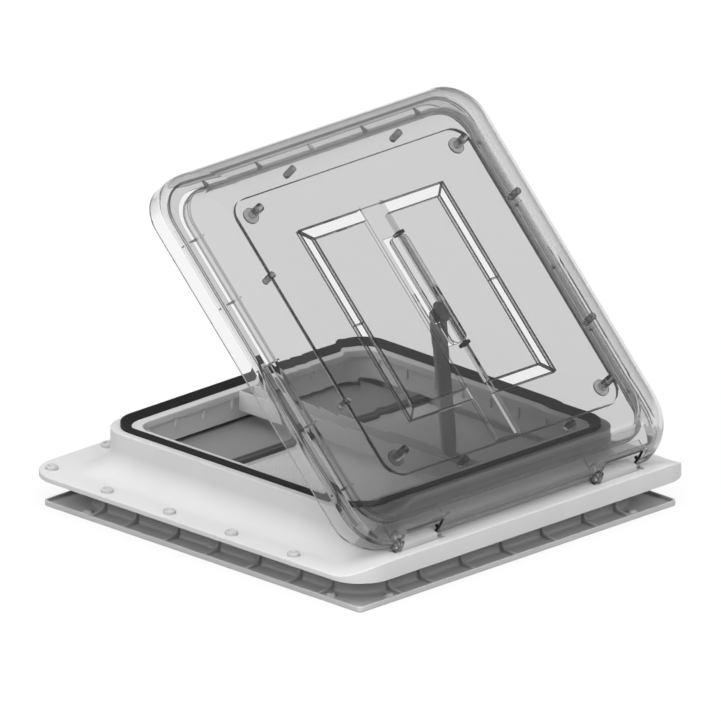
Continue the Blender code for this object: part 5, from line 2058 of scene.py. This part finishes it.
    def build_spacers(self, palette: Palette) -> None:
        """Make the bosses and pins between the skins.

        Args:
            palette: the finishes.
        """
        seat = self.panel_b + self.panel_skin + GAP
        height = self.top_b - self.skin - self.boss_gap - seat
        ring, stud = self.boss_ring / height, self.stud_radius / self.boss_radius
        boss = [(0.0, 1.0), (stud, 1.0), (stud, ring), (1.0, ring), (1.0, 0.0), (0.0, 0.0)]
        boss_at = corners(self.boss_offset)
        pin = [(0.0, 1.0), (1.0, 1.0), (1.0, 0.0), (0.0, 0.0)]
        pin_at = []
        for x, y in corners(1.0):
            pin_at += [(x * self.pin_step, y * self.pin_line), (x * self.pin_line, y * self.pin_step)]
        rows = (
            ("corner_bosses", boss, boss_at, self.boss_radius, height, "corner_boss_%d"),
            ("spacer_pins", pin, pin_at, self.pin_radius, self.pin_top - seat, "spacer_pin_%d"),
        )
        for name, profile, at, radius, tall, node in rows:
            places = [(Vector((x, self.centre_a + y, seat)), 0.0) for x, y in at]
            size = (radius, radius, tall)
            made = Repeat(name, Shape().lathe(profile), places, size, self.swing).piece(palette.smoked)
            soften(made, Edge.STUD)
            # Upright sides are painted grey, to show as darker lines through the sheet
            side = palette.painted_grey_line
            dress_faces(made, self.swing, lambda _, normal: side if abs(normal.z) < UPRIGHT else None)
            self.keep(made, Body.LID, "stud_dark", *[node % number for number in range(1, len(at) + 1)])

    def build_rail(self, palette: Palette) -> None:
        """Make the guide rail and its two end clips.

        Args:
            palette: the finishes.
        """
        low, high = self.rail_b
        start, end = self.rail_a
        lip_top, ceiling, cavity = self.rail_lip_top, self.rail_ceiling, self.rail_cavity
        right = [(self.rail_lip, lip_top), (self.rail_lip, low)]
        right += [(self.rail_half, low), (self.rail_half, high)]
        outline = right + [(-x, z) for x, z in reversed(right)]
        outline += [(-cavity, lip_top), (-cavity, ceiling), (cavity, ceiling), (cavity, lip_top)]
        rail = Shape(self.swing).prism(outline, start, end, Axis.Y).piece("slide_rail", palette.rail_clear)
        flat = self.rail_half - self.rail_end
        near, far = start + self.rail_end, end - self.rail_end
        plan = []
        for number, centre in enumerate(((flat, far), (-flat, far), (-flat, near), (flat, near))):
            plan += arc(centre, self.rail_end, 90.0 * number, 90.0 * (number + 1), 8)
        combine(rail, Shape(self.swing).prism(plan, low - PAST, high + PAST, Axis.Z), Cut.TRIM)
        score(rail, self.swing, (low + self.edge_line, high - self.edge_line))
        soften(rail)
        dress_faces(rail, self.swing, partial(self.rail_finish, palette))
        self.keep(rail, Body.LID, "rail_grey", "guide_rail")
        clips = (("lower", start - self.clip_gap - self.clip_length), ("upper", end + self.clip_gap))
        for name, at in clips:
            clip_b = (self.trough_top + GAP, high)
            shape = Shape(self.swing).box(self.clip_x, (at, at + self.clip_length), clip_b)
            clip = shape.piece("end_clip_" + name, palette.black)
            soften(clip, Edge.STRAP)
            self.keep(clip, Body.LID, "clip_black", "rail_clip_" + name)


# Studio


@dataclass
class Studio:
    """Pale floor, wide soft light from above and a camera at the photo's angle."""

    floor_half: float = 20.0
    floor_drop: float = 0.0005
    floor_colour: str = "FAFAFA"
    floor_bounce: str = "3A3A3A"
    floor_glow: float = 0.88
    sun_energy: float = 0.6
    sun_width: float = 70.0
    sun_tilt: float = 42.0
    sun_turn: float = 38.0
    sky_top: float = 1.45
    sky_low: float = 0.1
    sky_start: float = 0.2
    sky_rise: float = 0.55
    sky_from: tuple[float, float, float] = (0.62, 0.78, 0.0)
    sky_back: float = 0.04
    sky_front: float = 1.56
    room_dark: float = 0.42
    azimuth: float = -45.0
    elevation: float = 20.0
    aim: tuple[float, float, float] = (0.00027, -0.00027, 0.14748)
    distance: float = 3.0
    frame_width: float = 0.6914

    @staticmethod
    def first_sight(tree: NodeTree) -> NodeSocket:
        """Tell whether something is seen directly, or through or off the lid, and not as light on a piece.

        Args:
            tree: the node tree.

        Returns:
            A value that is 1 where it is.
        """
        depth = add_node(tree, "ShaderNodeLightPath").outputs["Diffuse Depth"]
        return maths(tree, "LESS_THAN", depth, 0.5)

    def floor(self) -> None:
        """Lay the floor."""
        mesh = bpy.data.meshes.new("studio_floor")
        half = self.floor_half
        ring = [(-half, -half), (half, -half), (half, half), (-half, half)]
        mesh.from_pydata([(x, y, -self.floor_drop) for x, y in ring], [], [(0, 1, 2, 3)])
        made = link("studio_floor", mesh)
        material, tree = new_material("matt_paper_sweep")
        # Paper tooth, far too fine to see, keeps the sweep from being one flat colour
        tooth = ramp(tree, noise(tree, 1.0), 0.9, 1.0)
        # What the eye meets is pale, and what bounces back up is little, so that the roof gap stays dark
        paper, dull = (
            add_node(tree, "ShaderNodeBsdfDiffuse", {"Color": linear(tone), "Roughness": tooth})
            for tone in (self.floor_colour, self.floor_bounce)
        )
        # Lit from below, so that only a faint shadow shows
        glow = add_node(tree, "ShaderNodeEmission", {"Color": WHITE}).outputs["Emission"]
        seen = mix_shader(tree, self.floor_glow, paper.outputs["BSDF"], glow)
        both = mix_shader(tree, self.first_sight(tree), dull.outputs["BSDF"], seen)
        mesh.materials.append(close_material(material, both, self.floor_colour))

    def light(self) -> None:
        """Hang the light and set the surroundings."""
        lamp = bpy.data.lights.new("overhead_softbox", "SUN")
        lamp.energy = self.sun_energy
        lamp.angle = math.radians(self.sun_width)
        made = link("overhead_softbox", lamp)
        made.visible_glossy = False
        made.rotation_euler = (0.0, -math.radians(self.sun_tilt), math.radians(self.sun_turn))
        world = bpy.data.worlds.new("studio")
        world.use_nodes = True
        tree = world.node_tree
        tree.nodes.clear()
        # The sky is bright overhead and dim at the horizon, so that the roof gap falls into shade
        ray = add_node(tree, "ShaderNodeNewGeometry").outputs["Incoming"]
        height = add_node(tree, "ShaderNodeSeparateXYZ", {"Vector": ray}).outputs["Z"]
        rise = (self.sky_low, self.sky_top, -self.sky_start, -self.sky_rise)
        sky = map_range(tree, height, *rise, interpolation_type="SMOOTHSTEP")
        # It is brightest behind the camera, so that the well behind the lid lies in shade
        side = add_node(tree, "ShaderNodeVectorMath", {0: ray, 1: self.sky_from}, operation="DOT_PRODUCT")
        share = map_range(tree, side.outputs["Value"], self.sky_back, self.sky_front, -1.0)
        # The lid's edges mirror a dim room instead
        lit = maths(tree, "MULTIPLY", sky, share)
        strength = map_range(tree, self.first_sight(tree), lit, self.room_dark)
        back = add_node(tree, "ShaderNodeBackground", {"Color": WHITE, "Strength": strength})
        add_node(tree, "ShaderNodeOutputWorld", {"Surface": back.outputs["Background"]})
        bpy.context.scene.world = world

    def camera(self) -> None:
        """Set the camera."""
        turn, lift = math.radians(self.azimuth), math.radians(self.elevation)
        back = Vector((math.sin(turn) * math.cos(lift), -math.cos(turn) * math.cos(lift), math.sin(lift)))
        data = bpy.data.cameras.new("camera")
        data.type = "ORTHO"
        data.ortho_scale = self.frame_width
        made = link("camera", data)
        made.location = Vector(self.aim) + back * self.distance
        made.rotation_mode = "QUATERNION"
        made.rotation_quaternion = (-back).to_track_quat("-Z", "Y")
        bpy.context.scene.camera = made

    def build(self) -> None:
        """Set up floor, light and camera."""
        self.floor()
        self.light()
        self.camera()
        bpy.context.scene.view_settings.view_transform = "Standard"


def dress_kept(nodes: dict[str, Object], palette: Palette) -> None:
    """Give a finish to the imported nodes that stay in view.

    Args:
        nodes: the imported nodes.
        palette: the finishes.
    """
    steel = ("clamp_screw", "arm_pivot_pin", "hinge_pin", "slide_pin")
    trim = ("side_track", "blind_cassette", "screen_cassette")
    for name, node in nodes.items():
        for starts, material in ((steel, palette.steel), (trim, palette.trim)):
            if name.startswith(starts):
                node.data.materials.clear()
                node.data.materials.append(material)


def main() -> None:
    """Build and dress the roof light."""
    logging.basicConfig(level=logging.INFO, format="%(name)s: %(message)s")
    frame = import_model()
    hinge = next(joint for joint in frame["joints"] if joint["name"] == "lid_hinge")
    swing = Matrix.Translation(Vector(hinge["pos_m"]) / MM) @ Matrix.Rotation(math.radians(OPENING), 4, "X")
    palette = Palette()
    outer = OuterFrame()
    parts = (outer, CollarSeal(outer), InteriorFrame(outer), Shades(), LiftLink(), Hinges(swing), Lid(swing))
    for part in parts:
        part.build(palette)
        part.dress()
    dress_kept(frame["nodes"], palette)
    Studio().build()


if __name__ == "__main__":
    main()
